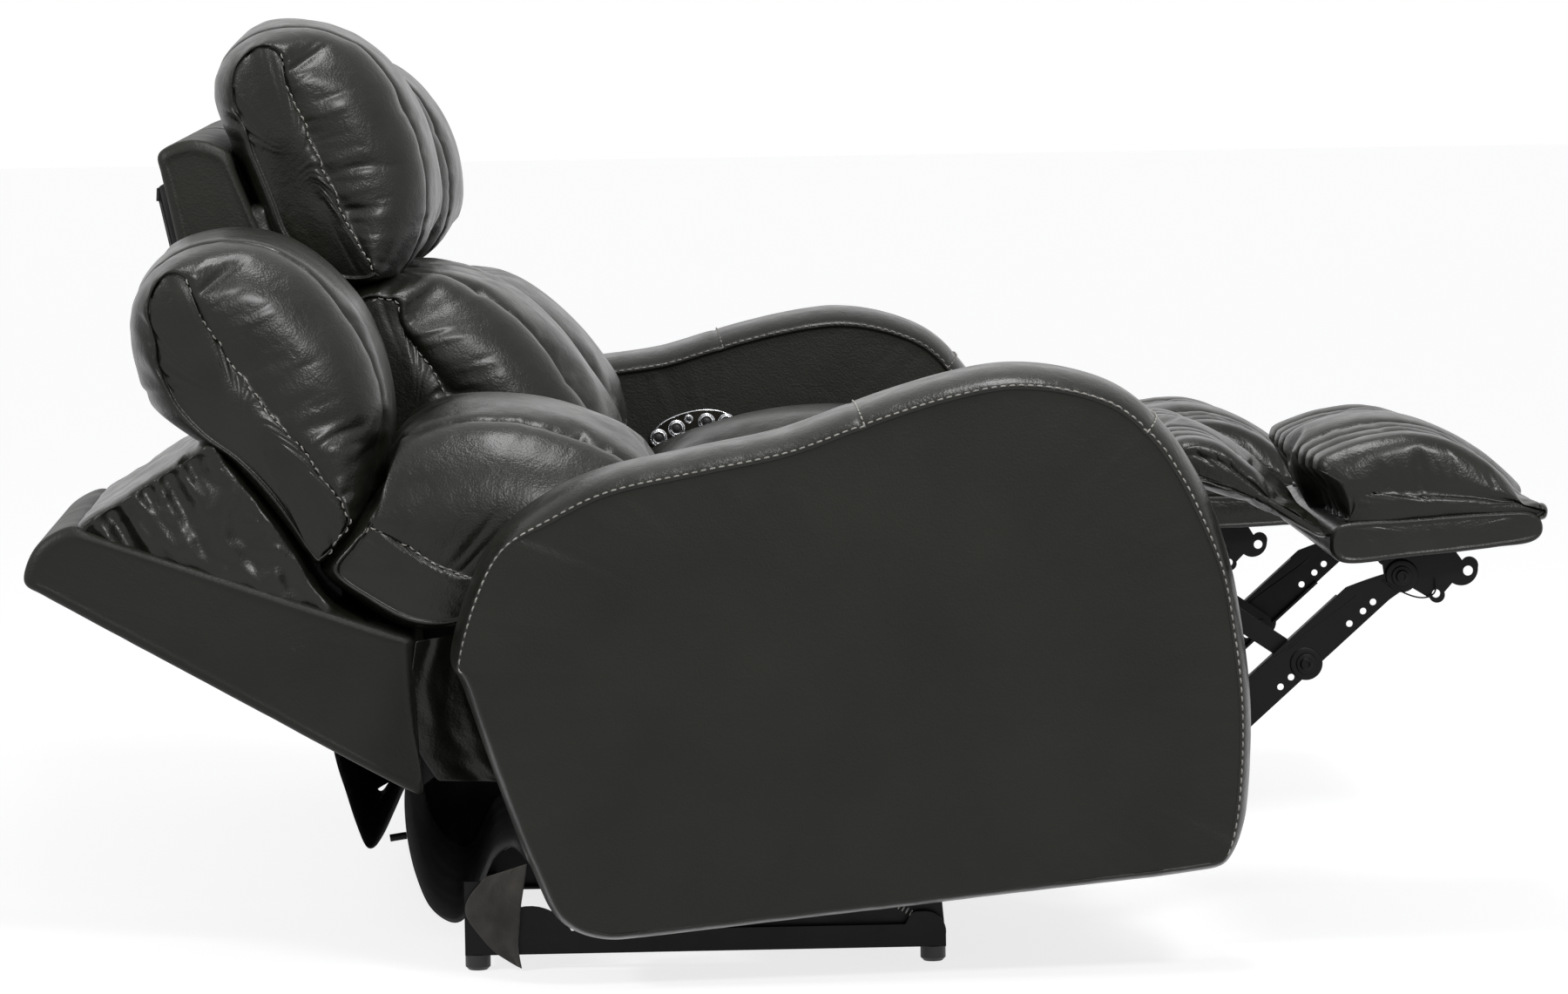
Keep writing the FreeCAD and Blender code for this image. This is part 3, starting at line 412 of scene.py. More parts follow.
def read(piece: bpy.types.Object, what: str = "co") -> np.ndarray:
    """Places ("co") or directions ("normal") of a mesh's points.

    Args:
        piece: the piece.
        what: which of the two.

    Returns:
        One row for each point.
    """
    rows = np.empty(len(piece.data.vertices) * 3)
    piece.data.vertices.foreach_get(what, rows)
    return rows.reshape(-1, 3)


def write_points(piece: bpy.types.Object, places: np.ndarray) -> None:
    """Put a mesh's points in new places."""
    piece.data.vertices.foreach_set("co", np.ascontiguousarray(places).ravel())
    piece.data.update()


def rounded(piece: bpy.types.Object) -> None:
    """Subdivide a piece once, after its other modifiers, and shade it smooth.

    Args:
        piece: the piece.
    """
    rounder = piece.modifiers.new("rounder", "SUBSURF")
    rounder.levels = rounder.render_levels = 1
    apply_all(piece)
    piece.data.shade_smooth()


def volume(points: np.ndarray, faces: Faces) -> float:
    """Signed volume inside a closed mesh.

    Args:
        points: its points, one row each.
        faces: corner numbers of each face.

    Returns:
        The volume, negative when the faces point inwards.
    """
    total = 0.0
    for face in faces:
        for second, third in zip(face[1:], face[2:]):
            total += float(np.dot(points[face[0]], np.cross(points[second], points[third])))
    return total / 6


def flipped(faces: Faces) -> Faces:
    """The same faces, turned inside out."""
    return [tuple(reversed(f)) for f in faces]


def run_along(points: np.ndarray) -> np.ndarray:
    """How far along a line each of its points lies."""
    return np.concatenate([[0.0], np.cumsum(np.linalg.norm(np.diff(points, axis=0), axis=1))])


def rows_at(at: float | np.ndarray, run: np.ndarray, rows: np.ndarray) -> np.ndarray:
    """Rows read off between a line's own rows.

    Args:
        at: how far along the line, once or for each row that is wanted.
        run: how far along each of its own rows lies.
        rows: the line's own rows.

    Returns:
        The row or rows.
    """
    return np.stack([np.interp(at, run, rows[:, c]) for c in range(rows.shape[1])], axis=-1)


def closed_curve(keys: np.ndarray, count: int, steps: int = 14) -> np.ndarray:
    """A smooth closed curve through key rows, sampled evenly along its first two columns.

    Args:
        keys: one row per key, of any width.
        count: number of samples.
        steps: steps from one key to the next while the curve is worked out.

    Returns:
        The samples, one row each.
    """
    total = len(keys)
    fine = []
    for i in range(total):
        p0, p1, p2, p3 = (keys[(i + k) % total] for k in (-1, 0, 1, 2))
        t1, g2, g3 = (max(np.linalg.norm(b[:2] - a[:2]), 1.0) ** 0.5 for a, b in ((p0, p1), (p1, p2), (p2, p3)))
        t2 = t1 + g2
        t3 = t2 + g3
        for t in np.linspace(t1, t2, steps, endpoint=False):
            a1 = (t1 - t) / t1 * p0 + t / t1 * p1
            a2 = (t2 - t) / (t2 - t1) * p1 + (t - t1) / (t2 - t1) * p2
            a3 = (t3 - t) / (t3 - t2) * p2 + (t - t2) / (t3 - t2) * p3
            b1 = (t2 - t) / t2 * a1 + t / t2 * a2
            b2 = (t3 - t) / (t3 - t1) * a2 + (t - t1) / (t3 - t1) * a3
            fine.append((t2 - t) / (t2 - t1) * b1 + (t - t1) / (t2 - t1) * b2)
    ring = np.array(fine + fine[:1])
    run = run_along(ring[:, :2])
    return rows_at(np.linspace(0.0, run[-1], count, endpoint=False), run, ring)


def open_curve(keys: Line, count: int, steps: int = 12) -> np.ndarray:
    """A smooth line through key points, sampled evenly.

    Args:
        keys: the points.
        count: number of samples.
        steps: steps from one key to the next while the line is worked out.

    Returns:
        The samples, one row each.
    """
    keys = np.array(keys, float)
    padded = np.vstack([2 * keys[0] - keys[1], keys, 2 * keys[-1] - keys[-2]])
    fine = []
    for p0, p1, p2, p3 in zip(padded, padded[1:], padded[2:], padded[3:]):
        for t in np.linspace(0, 1, steps, endpoint=False):
            fine.append(0.5 * (2 * p1 + (p2 - p0) * t + (2 * p0 - 5 * p1 + 4 * p2 - p3) * t * t
                               + (3 * p1 - p0 - 3 * p2 + p3) * t ** 3))
    fine = np.array(fine + [keys[-1]])
    run = run_along(fine)
    return rows_at(np.linspace(0, run[-1], count), run, fine)


def outward(points: np.ndarray) -> np.ndarray:
    """Directions that point out of a closed outline.

    Args:
        points: the outline, in either sense.

    Returns:
        A unit direction for each point.
    """
    ahead = np.roll(points, -1, axis=0)
    along = ahead - np.roll(points, 1, axis=0)
    out = np.stack([along[:, 1], -along[:, 0]], axis=1)
    out /= np.maximum(np.linalg.norm(out, axis=1), TINY)[:, None]
    area = np.sum(points[:, 0] * ahead[:, 1] - ahead[:, 0] * points[:, 1])
    return out if area > 0 else -out


@dataclass
class PaddedForm:
    """An upholstered form: bands that roll over from the front to sewn side panels.

    Each spoke gives a point of the outline, the point of the side panel's seam that it rolls to, and
    1 where the piece rests on something and keeps its place, all in the upright seat in millimetres.
    """

    name: str
    spokes: Sequence[Spoke]
    half: float
    roll: float
    channels: Sequence[float] = ()
    dip: float = 10.0
    crown: float = 8.0
    room: float = 9.0
    spare: float = 0.03
    fill: float = 4.0
    cap: float = 24.0
    around: int = 180
    step: float = 20.0
    gather: float = 3.0
    panel_bulge: float = 4.0
    floor: float | None = None
    step_in: float = 0.0
    stitched_run: tuple[Spot, Spot] | None = None
    cross_seams: Line = ()

    # Angles of the rings round the roll, and one more beside the seam where that is sunk.
    ROLL_ANGLES = (0, 14, 27, 40, 53, 66, 78, 90)
    SUNK_ANGLE = 5
    # Rings on both sides of a channel's bottom, how far others keep clear of it, and its width.
    CHANNEL_RINGS = (-12, -5, 0, 5, 12)
    CHANNEL_CLEAR = 15.0
    CHANNEL_WIDTH = 6.0
    # Rings of a side panel: how far in from the seam in millimetres, or as a share of the way to its
    # middle, and how much of the step they take.
    PANEL_RINGS = ((7.0, 0.0, 1.0), (0.0, 0.22, 0.0), (0.0, 0.45, 0.0), (0.0, 0.7, 0.0))
    STEP_RING = (2.0, 0.0, 0.8)
    STEP_FROM = 14.0
    # The pull of a cross seam on the points beside it.
    SEAM_PULL = 0.6
    # The cover's stiffness, and the frames over which it swells.
    STRETCH_STIFF = 12.0
    BEND_STIFF = 0.8
    FRAMES = 20
    # The folds' noise, in metres: steps of the folds that run off a seam along it and away from it, of
    # the slow waves among them, and of the slack ones across the whole cover.
    FOLD_STEPS = (0.017, 0.07)
    SLOW_STEPS = (0.05, 0.12, 0.2)
    SLACK_STEPS = (0.09, 0.09, 0.06)
    # How much the slow and the slack ones count, and what a side panel's folds count over the band's.
    SLOW_SHARE = 0.6
    SLACK_SHARE = 0.35
    PANEL_SHARE = 1.7
    # Where folds reach their height beside a seam, how far from it they die out, and where slack starts.
    FOLD_START = 0.006
    FOLD_REACH = 0.03
    SLACK_START = 0.03
    # How many points to either side a side panel's swell is evened out over, and how much, by ring.
    CALM_REACH = 9
    CALM_SHARE = 0.35

    def layout(self) -> None:
        """Work out the outline, the side panel's seam and where the cross seams lie."""
        rows = closed_curve(np.array(self.spokes, float), self.around)
        self.outline, self.panel, self.held = rows[:, :2], rows[:, 2:4], np.clip(rows[:, 4], 0, 1)
        if self.floor is not None:
            self.outline[:, 1] = np.maximum(self.outline[:, 1], self.floor)
            self.panel[:, 1] = np.maximum(self.panel[:, 1], self.floor + 1)
        self.out = outward(self.outline)
        self.run = run_along(self.outline)
        self.crossing = [self.nearest(self.outline, spot) for spot in self.cross_seams]
        for column in self.crossing:
            for beside in (column - 1, (column + 1) % self.around):
                for line in (self.outline, self.panel):
                    line[beside] += (line[column] - line[beside]) * self.SEAM_PULL

    def sewn(self) -> bool:
        """Whether the side seams lie in a groove, as where two soft covers meet."""
        return self.stitched_run is not None and not self.step_in

    @staticmethod
    def nearest(points: np.ndarray, spot: Spot) -> int:
        """Number of the point that is nearest to a spot."""
        return int(np.argmin(np.linalg.norm(points - np.array(spot), axis=1)))

    def widths(self) -> list[tuple[float, bool]]:
        """Where the rings of the band stand.

        Returns:
            Their places across the width, each with whether it is a channel's bottom.
        """
        angles = sorted((*self.ROLL_ANGLES, self.SUNK_ANGLE)) if self.sewn() else self.ROLL_ANGLES
        turns = [self.half - self.roll * (1 - math.cos(math.radians(a))) for a in angles[:-1]]
        flat = self.half - self.roll
        count = max(int(2 * flat / self.step), 2)
        places = [(-x, False) for x in turns]
        places += [(x, False) for x in np.linspace(-flat, flat, count + 1)]
        places += [(x, False) for x in reversed(turns)]
        for channel in self.channels:
            places = [p for p in places
                      if abs(abs(p[0]) - channel) > self.CHANNEL_CLEAR or abs(p[0]) > self.half - 2]
            for side in (-1, 1):
                places += [(side * (channel + off), off == 0) for off in self.CHANNEL_RINGS]
        return sorted(places)

    def ring(self, x: float) -> np.ndarray:
        """One ring of the outline at a place across the width.

        Args:
            x: place across the width, in millimetres from the middle.

        Returns:
            Its points, as rows of x, back and height.
        """
        edge = min(max(self.half - abs(x), 0.0), self.roll)
        inward = 1 - math.sin(math.acos(1 - edge / self.roll))
        flat = self.outline + (self.panel - self.outline) * inward
        sink = np.full(self.around, self.crown * (x / self.half) ** 2 + self.room * (1 - inward))
        sink[self.crossing] += SEAM_DEPTH
        for channel in self.channels:
            sink += self.dip * math.exp(-((abs(x) - channel) / self.CHANNEL_WIDTH) ** 2)
        flat = flat - self.out * (sink * (1 - self.held))[:, None]
        return np.column_stack([np.full(self.around, x), flat])

    def side_rings(self, side: int) -> list[np.ndarray]:
        """Rings of a side panel.

        Args:
            side: -1 or 1.

        Returns:
            The points of each, from the seam to near the panel's middle.
        """
        middle = self.panel.mean(axis=0)
        reach = np.maximum(np.linalg.norm(self.panel - middle, axis=1), 1.0)
        stepped = self.step_in * (np.linalg.norm(self.panel - self.outline, axis=1) > self.STEP_FROM)
        rings = []
        for inset, share, sink in (self.STEP_RING,) * bool(self.step_in) + self.PANEL_RINGS:
            part = np.maximum(np.minimum(inset / reach, 0.2), share)
            flat = self.panel + (middle - self.panel) * part[:, None]
            bulge = self.panel_bulge * (1 - (1 - part) ** 2)
            rings.append(np.column_stack([side * (self.half + bulge - self.panel_bulge - stepped * sink), flat]))
        return rings

    def grid(self) -> tuple[np.ndarray, Faces]:
        """The whole cover, as rings from one side panel's middle to the other's.

        Returns:
            Its points in millimetres, and the faces that join them.
        """
        widths = self.widths()
        bands = [self.ring(x) for x, _ in widths]
        edge = self.half - self.panel_bulge - SEAM_GROOVE * self.sewn()
        bands[0][:, 0], bands[-1][:, 0] = -edge, edge
        left = self.side_rings(-1)[::-1]
        self.first, self.last = len(left), len(left) + len(bands) - 1
        self.bottoms = [self.first + i for i, (_, bottom) in enumerate(widths) if bottom]
        self.rings = left + bands + self.side_rings(1)
        n, total = self.around, len(self.rings)
        faces = [(r * n + i, r * n + (i + 1) % n, (r + 1) * n + (i + 1) % n, (r + 1) * n + i)
                 for r in range(total - 1) for i in range(n)]
        strips = [(i, i + 1, n - i - 1, n - i) for i in range(1, n // 2 - 1)]
        strips += [(0, 1, n - 1), (n // 2 - 1, n // 2, n // 2 + 1)]
        faces += flipped(strips)
        faces += [tuple((total - 1) * n + i for i in strip) for strip in strips]
        return np.vstack(self.rings), faces

    def build(self) -> None:
        """Make the form in the upright seat, swell it, and keep its points for the seats that use it."""
        self.layout()
        self.points, faces = self.grid()
        self.faces = flipped(faces) if volume(self.points, faces) < 0 else faces
        if self.fill:
            self.swell()

    def seams(self) -> tuple[int, ...]:
        """The rings that are sewn down: both side seams and the channels' bottoms."""
        return self.first, self.last, *self.bottoms

    def swell(self) -> None:
        """Fill the sewn cover with air, as stuffing fills it."""
        piece = new_piece("swelling", self.points * MM, self.faces)
        weights = np.tile(self.held > 0.5, (len(self.rings), 1))
        weights[list(self.seams())] = True
        piece.vertex_groups.new(name="held").add([int(i) for i in np.nonzero(weights.ravel())[0]], 1.0, "REPLACE")
        cloth = piece.modifiers.new("cover", "CLOTH")
        rules = cloth.settings
        rules.quality = 4
        rules.use_pressure = True
        rules.uniform_pressure_force = self.fill
        rules.vertex_group_mass = "held"
        rules.effector_weights.gravity = 0.0
        rules.shrink_min = -self.spare
        rules.tension_stiffness = rules.compression_stiffness = self.STRETCH_STIFF
        rules.bending_stiffness = self.BEND_STIFF
        cloth.collision_settings.use_collision = False
        scene = bpy.context.scene
        scene.frame_start, scene.frame_end = 1, self.FRAMES
        for number in range(1, self.FRAMES + 1):
            scene.frame_set(number)
        apply_all(piece)
        scene.frame_set(1)
        moves = read(piece) / MM - self.points
        far = np.linalg.norm(moves, axis=1)
        moves *= (np.minimum(far, self.cap) / np.maximum(far, TINY))[:, None]
        bpy.data.objects.remove(piece)
        self.calm(moves)
        self.points = self.points + moves

    def calm(self, moves: np.ndarray) -> None:
        """Even out how far the side panels swell, more towards their middle, where leather lies smooth.

        Args:
            moves: how far each point has moved; changed in place.
        """
        grid = moves.reshape(len(self.rings), self.around, 3)
        for r, row in enumerate(grid):
            inside = self.first - r if r < self.first else r - self.last
            if inside > 0:
                reach = self.CALM_REACH * inside
                spread = sum(np.roll(row, k, axis=0) for k in range(-reach, reach + 1)) / (2 * reach + 1)
                row += (spread - row) * min(self.CALM_SHARE * inside, 1.0)

    def gathered(self, piece: bpy.types.Object, seed: int) -> None:
        """Raise the small folds that run off every seam, and the slack folds between them.

        Args:
            piece: the form's mesh, in metres.
            seed: a number that makes each piece's folds its own.
        """
        places = read(piece)
        n, total = self.around, len(self.rings)
        grid = places.reshape(total, n, 3)
        apart = np.linalg.norm(np.roll(grid, -1, axis=1) - grid, axis=2)
        loose = np.clip(apart / (FOLD_WIDTH * MM), 0, 1) ** 2
        far = np.vstack([np.zeros((1, n)), np.cumsum(np.linalg.norm(np.diff(grid, axis=0), axis=2), axis=0)])
        near = np.min([np.abs(far - far[r]) for r in self.seams()], axis=0)
        run = self.run * MM
        along, away = self.FOLD_STEPS
        slow_along, slow_away, slow_across = self.SLOW_STEPS
        slack_back, slack_up, slack_across = self.SLACK_STEPS
        raised = np.zeros((total, n))
        for r in range(total):
            sides = 1.0 if self.first <= r <= self.last else self.PANEL_SHARE
            for i in range(n):
                d, (x, y, z) = near[r, i], grid[r, i]
                fold = wander(run[i] / along, d / away + seed * 7.3, r * 0.04)
                slow = wander(run[i] / slow_along + seed * 3.1, d / slow_away, x / slow_across)
                slack = wander(y / slack_back + seed, z / slack_up, x / slack_across)
                rise = min(d / self.FOLD_START, 1.0) * math.exp(-d / self.FOLD_REACH / sides) * sides
                raised[r, i] = (rise * (fold + self.SLOW_SHARE * slow)
                                + self.SLACK_SHARE * slack * min(d / self.SLACK_START, 1.0))
        raised *= (1 - self.held) * loose * MM * self.gather
        write_points(piece, places + read(piece, "normal") * raised.ravel()[:, None])

    def seam(self, r: int) -> list[int]:
        """The stitched part of one ring.

        Args:
            r: the ring's number.

        Returns:
            Numbers of its points.
        """
        columns = range(self.around)
        if self.stitched_run:
            start, end = (self.nearest(self.panel, spot) for spot in self.stitched_run)
            columns = [(start + k) % self.around for k in range((end - start) % self.around + 1)]
        return [r * self.around + i for i in columns]

    def across(self, column: int) -> list[int]:
        """Numbers of the points along one column, over the band from side seam to side seam."""
        return [r * self.around + column % self.around for r in range(self.first, self.last + 1)]

    def made(self, name: str, place: Matrix, seed: int, finish: Finish, mirror: bool = False,
             band: Finish | None = None, fold: float = 0.0) -> tuple[bpy.types.Object, np.ndarray]:
        """One piece of this form, in place.

        Args:
            name: the piece's name.
            place: where its seat carries it.
            seed: a number that makes its folds its own.
            finish: what it wears.
            mirror: whether it is turned over, side for side.
            band: what its band wears between the side seams, where that is another finish.
            fold: degrees by which the headrest is lower than in the pose that the form is drawn in.

        Returns:
            The piece, and its points in place before it is subdivided.
        """
        points = folded(self.points, fold) if fold else self.points.copy()
        if mirror:
            points[:, 0] *= -1
        piece = new_piece(name, points * MM, flipped(self.faces) if mirror else self.faces)
        self.gathered(piece, seed)
        piece.data.transform(place)
        kept = read(piece)
        wear(piece, finish)
        if band:
            piece.data.materials.append(band.make())
            for face in piece.data.polygons[self.first * self.around:self.last * self.around]:
                face.material_index = 1
        rounded(piece)
        return piece, kept


def folded(points: np.ndarray, turn: float) -> np.ndarray:
    """Let the leather behind the headrest down with it.

    Args:
        points: x, back and height of each point, with the headrest fully raised.
        turn: degrees by which the headrest goes back.

    Returns:
        Where the points go: all the way at the headrest, not at all at the shell.
    """
    start = np.array(GUSSET_START)
    way = np.array(GUSSET_END) - start
    share = np.clip((points[:, 1:] - start) @ way / (way @ way), 0, 1)
    turned = np.radians(-turn * share * share * (3 - 2 * share))
    back, rise = points[:, 1] - HEAD[0], points[:, 2] - HEAD[1]
    return np.column_stack([points[:, 0], HEAD[0] + back * np.cos(turned) - rise * np.sin(turned),
                            HEAD[1] + back * np.sin(turned) + rise * np.cos(turned)])


def stitched(name: str, runs: Sequence[np.ndarray], closed: bool) -> bpy.types.Object:
    """Topstitches along one or more runs of points.

    Args:
        name: the piece's name.
        runs: points of each run in metres, with the surface's direction in the last three columns.
        closed: whether a run comes back to its start.

    Returns:
        The stitches, as one piece.
    """
    sides, reach = STITCH_SIDES, STITCH_LONG * MM / 2
    points, faces = [], []
    for run in runs:
        spots = np.vstack([run, run[:1]]) if closed else run
        length = run_along(spots[:, :3])
        count = int(length[-1] / (STITCH_PITCH * MM))
        for index in range(count):
            at = (index + 0.5) * length[-1] / count
            back, here, ahead = rows_at(np.array([at - reach, at, at + reach]), length, spots)
            way = (ahead - back)[:3]
            if np.linalg.norm(way) < 1e-6:
                continue
            way /= np.linalg.norm(way)
            up = here[3:] - way * np.dot(here[3:], way)
            up /= max(np.linalg.norm(up), TINY)
            side = np.cross(way, up)
            base = len(points)
            for end, wide in STITCH_RINGS:
                centre = here[:3] + way * end * reach + up * (STITCH_LIFT * (1 - STITCH_ARCH * end * end)) * MM
                for k in range(sides):
                    turn = 2 * math.pi * k / sides
                    points.append(centre + (side * math.cos(turn) + up * math.sin(turn)) * wide * STITCH_THICK / 2 * MM)
            for low in range(base, base + (len(STITCH_RINGS) - 1) * sides, sides):
                for k in range(sides):
                    nxt = (k + 1) % sides
                    faces.append((low + k, low + nxt, low + sides + nxt, low + sides + k))
            faces.append(tuple(base + k for k in reversed(range(sides))))
            faces.append(tuple(base + (len(STITCH_RINGS) - 1) * sides + k for k in range(sides)))
    array = np.array(points)
    if volume(array, faces[:sides * (len(STITCH_RINGS) - 1) + 2]) < 0:
        faces = flipped(faces)
    piece = new_piece(name, array, faces)
    piece.data.shade_smooth()
    wear(piece, THREAD)
    return piece


def surface_run(piece: bpy.types.Object, kept: np.ndarray, numbers: Sequence[int]) -> np.ndarray:
    """A line on a finished surface.

    Args:
        piece: the finished piece.
        kept: the points that it was rounded from.
        numbers: which of them to follow.

    Returns:
        A place and the direction that the surface faces there, row by row.
    """
    found = (piece.closest_point_on_mesh(Vector(kept[number])) for number in numbers)
    return np.array([(*spot, *way) for _, spot, way, _ in found])


# The padded forms, as (outline back, outline height, seam back, seam height, held).

SEAT_SPOKES = [
    (-266, 396, -245, 400, 1), (-290, 428, -256, 425, 0), (-298, 480, -252, 462, 0), (-258, 530, -225, 490, 0),
    (-200, 548, -180, 501, 0), (-130, 556, -120, 504, 0), (-58, 549, -50, 498, 0), (14, 534, 14, 488, 0),
    (85, 517, 75, 474, 0), (132, 499, 115, 460, 0), (160, 476, 135, 445, 0), (165, 430, 145, 420, 1),
    (163, 396, 145, 400, 1), (20, 396, 20, 400, 1), (-120, 396, -120, 400, 1),
]
LUMBAR_SPOKES = [
    (170, 501, 360, 522, 0), (160, 517, 366, 540, 0), (172, 572, 388, 566, 0), (201, 630, 412, 590, 0),
    (232, 672, 428, 612, 0), (264, 708, 446, 642, 0), (318, 746, 460, 668, 0), (362, 764, 472, 692, 0),
    (397, 772, 482, 706, 0), (430, 740, 492, 704, 0), (493, 716, 508, 692, 1), (560, 694, 540, 676, 1),
    (548, 641, 524, 630, 1), (518, 575, 500, 586, 1), (480, 549, 474, 562, 1), (400, 526, 430, 543, 1),
    (300, 501, 395, 528, 0), (230, 499, 372, 520, 0),
]
CENTRE_LUMBAR_SPOKES = [
    (185, 500, 340, 530, 0), (174, 517, 335, 546, 0), (183, 556, 345, 572, 0), (205, 607, 365, 603, 0),
    (240, 660, 388, 638, 0), (270, 703, 412, 672, 0), (302, 740, 436, 706, 0), (350, 773, 457, 736, 0),
    (405, 800, 462, 764, 0), (455, 800, 478, 772, 0), (510, 785, 506, 764, 1), (568, 735, 540, 718, 1),
    (555, 660, 530, 653, 1), (520, 580, 500, 588, 1), (480, 549, 468, 566, 1), (400, 526, 422, 546, 1),
    (300, 501, 380, 532, 0), (235, 499, 358, 525, 0),
]
HEADREST_SPOKES = [
    (470, 773, 490, 793, 0), (432, 820, 500, 824, 0), (416, 880, 520, 870, 0), (421, 940, 541, 916, 0),
    (440, 1000, 562, 965, 0), (470, 1057, 583, 1014, 0), (515, 1098, 598, 1050, 0), (578, 1117, 606, 1083, 0),
    (632, 1111, 634, 1091, 0), (676, 1085, 664, 1062, 0), (701, 1040, 668, 1015, 0), (694, 993, 655, 982, 0),
    (668, 950, 638, 948, 1), (645, 892, 616, 892, 1), (626, 840, 598, 846, 1), (583, 813, 568, 816, 1),
    (530, 784, 528, 794, 1),
]
RAISED_HEADREST_SPOKES = [
    (479, 745, 493, 749, 0), (455, 776, 495, 772, 0), (437, 820, 508, 808, 0), (418, 880, 530, 860, 0),
    (421, 940, 556, 922, 0), (440, 1000, 580, 975, 0), (470, 1057, 599, 1021, 0), (515, 1098, 608, 1055, 0),
    (578, 1117, 612, 1085, 0), (632, 1111, 636, 1094, 0), (676, 1085, 664, 1062, 0), (701, 1040, 668, 1015, 0),
    (702, 985, 670, 975, 0), (692, 940, 655, 935, 1), (655, 892, 632, 892, 1), (626, 865, 604, 858, 1),
    (592, 801, 572, 802, 1), (563, 735, 550, 738, 1), (556, 702, 545, 714, 0), (540, 700, 532, 716, 0),
    (507, 722, 508, 732, 0),
]
GUSSET_SPOKES = [
    (672, 949, 664, 938, 1), (615, 940, 612, 926, 0), (558, 924, 560, 910, 0), (510, 910, 518, 896, 0),
    (484, 900, 494, 886, 1), (489, 879, 501, 872, 1), (505, 800, 518, 800, 1), (521, 728, 535, 732, 1),
    (535, 700, 546, 706, 1), (541, 664, 552, 668, 1), (533, 610, 545, 614, 1), (522, 580, 536, 590, 1),
    (545, 580, 546, 592, 1), (602, 735, 592, 740, 1), (657, 850, 646, 850, 1), (690, 932, 678, 928, 1),
]
PAD_SPOKES = [
    (-529, 446, -541, 450, 0), (-523, 474, -552, 466, 0), (-499, 508, -562, 481, 0), (-508, 541, -577, 485, 0),
    (-545, 557, -600, 484, 0), (-590, 565, -627, 482, 0), (-640, 565, -662, 479, 0), (-690, 549, -700, 474, 0),
    (-735, 518, -736, 466, 0), (-768, 482, -762, 460, 0), (-793, 458, -782, 449, 0), (-798, 444, -788, 443, 0),
    (-786, 434, -778, 440, 1), (-720, 433, -720, 440, 1), (-620, 433, -620, 440, 1), (-556, 433, -560, 441, 1),
    (-534, 438, -546, 445, 0),
]
BOARD_SPOKES = [
    (-526, 414, -532, 419, 0), (-525, 432, -532, 430, 0), (-529, 443, -535, 438, 0), (-541, 450, -545, 444, 0),
    (-620, 450, -620, 444, 0), (-730, 449, -728, 443, 0), (-764, 446, -760, 440, 0), (-776, 436, -770, 432, 0),
    (-777, 420, -771, 421, 0), (-767, 411, -764, 417, 0), (-720, 407, -718, 413, 0), (-620, 404, -620, 410, 0),
    (-538, 404, -542, 410, 0),
]
MIDDLE_SPOKES = [
    (-528, 434, -520, 441, 1), (-508, 466, -498, 462, 0), (-472, 495, -464, 487, 0), (-446, 526, -436, 511, 0),
    (-402, 562, -402, 538, 0), (-357, 569, -363, 549, 0), (-336, 546, -350, 537, 0), (-350, 523, -367, 522, 0),
    (-430, 481, -430, 490, 0), (-500, 443, -495, 451, 1), (-516, 434, -511, 440, 1),
]
ARM_OUTLINE = [
    (513, 378), (519, 388), (492, 470), (455, 528), (400, 568), (330, 595), (220, 611), (112, 625), (40, 645),
    (-17, 660), (-85, 674), (-150, 680), (-220, 669), (-284, 641), (-330, 594), (-358, 545), (-373, 509),
    (-392, 430), (-400, 356), (-403, 285), (-399, 214), (-386, 132), (-368, 92), (-354, 79), (-313, 74),
    (-150, 68.5), (20, 62.5), (200, 57), (327, 53), (365, 54), (400, 66), (425, 89), (442, 133), (458, 180),
    (485, 277),
]
SHELL_SPOKES = [
    (520, 556, 530, 566, 0), (513, 561, 526, 570, 0), (520, 580, 533, 582, 0), (590, 751, 604, 753, 0),
    (664, 932, 678, 934, 0), (669, 951, 684, 941, 0), (685, 962, 695, 947, 0), (715, 970, 718, 952, 0),
    (745, 963, 738, 947, 0), (761, 951, 748, 940, 0), (757, 930, 744, 928, 0), (708, 700, 695, 703, 0),
    (653, 450, 643, 460, 0), (647, 433, 636, 449, 0), (638, 441, 626, 455, 0), (580, 497, 586, 509, 0),
]
BOX_SPOKES = [
    (-288, 70, -276, 78, 0), (-289, 80, -277, 84, 0), (-289, 230, -277, 230, 0), (-289, 380, -277, 376, 0),
    (-286, 394, -275, 384, 0), (-270, 396, -266, 386, 0), (0, 396, 0, 386, 0), (292, 396, 288, 386, 0),
    (304, 402, 298, 393, 0), (425, 466, 420, 457, 0), (436, 474, 430, 464, 0), (505, 550, 503, 538, 0),
    (515, 556, 513, 543, 0), (528, 548, 523, 538, 0), (630, 448, 620, 440, 0), (640, 436, 628, 430, 0),
    (636, 420, 625, 418, 0), (566, 306, 557, 311, 0), (556, 294, 548, 302, 0), (395, 113, 390, 122, 0),
    (384, 108, 381, 118, 0), (262, 108, 266, 118, 0), (252, 100, 257, 112, 0), (246, 66, 250, 76, 0),
    (236, 61, 236, 72, 0), (0, 60, 0, 71, 0), (-272, 60, -266, 71, 0),
]
ARM_STITCHED = ((500, 385), (-358, 98))
ARM_CROSS_SEAMS = ((29, 646), (-313, 607))


def arm_spokes(over: float = 23.0, under: float = 11.0, ends: float = 16.0) -> list[Spoke]:
    """The arm's outline, with its border's seam further in over the top than along the bottom.

    Args:
        over: the seam's distance from the outline over the top, in millimetres.
        under: its distance along the bottom and at the rear.
        ends: its distance at the front.

    Returns:
        The spokes.
    """
    points = np.array(ARM_OUTLINE, float)
    spokes = []
    for (y, z), (oy, oz) in zip(points, outward(points)):
        depth = over if z > 480 and y < 420 else under if z < 100 or y > 400 else ends
        spokes.append((y, z, y - oy * depth, z - oz * depth, 0.0))
    return spokes


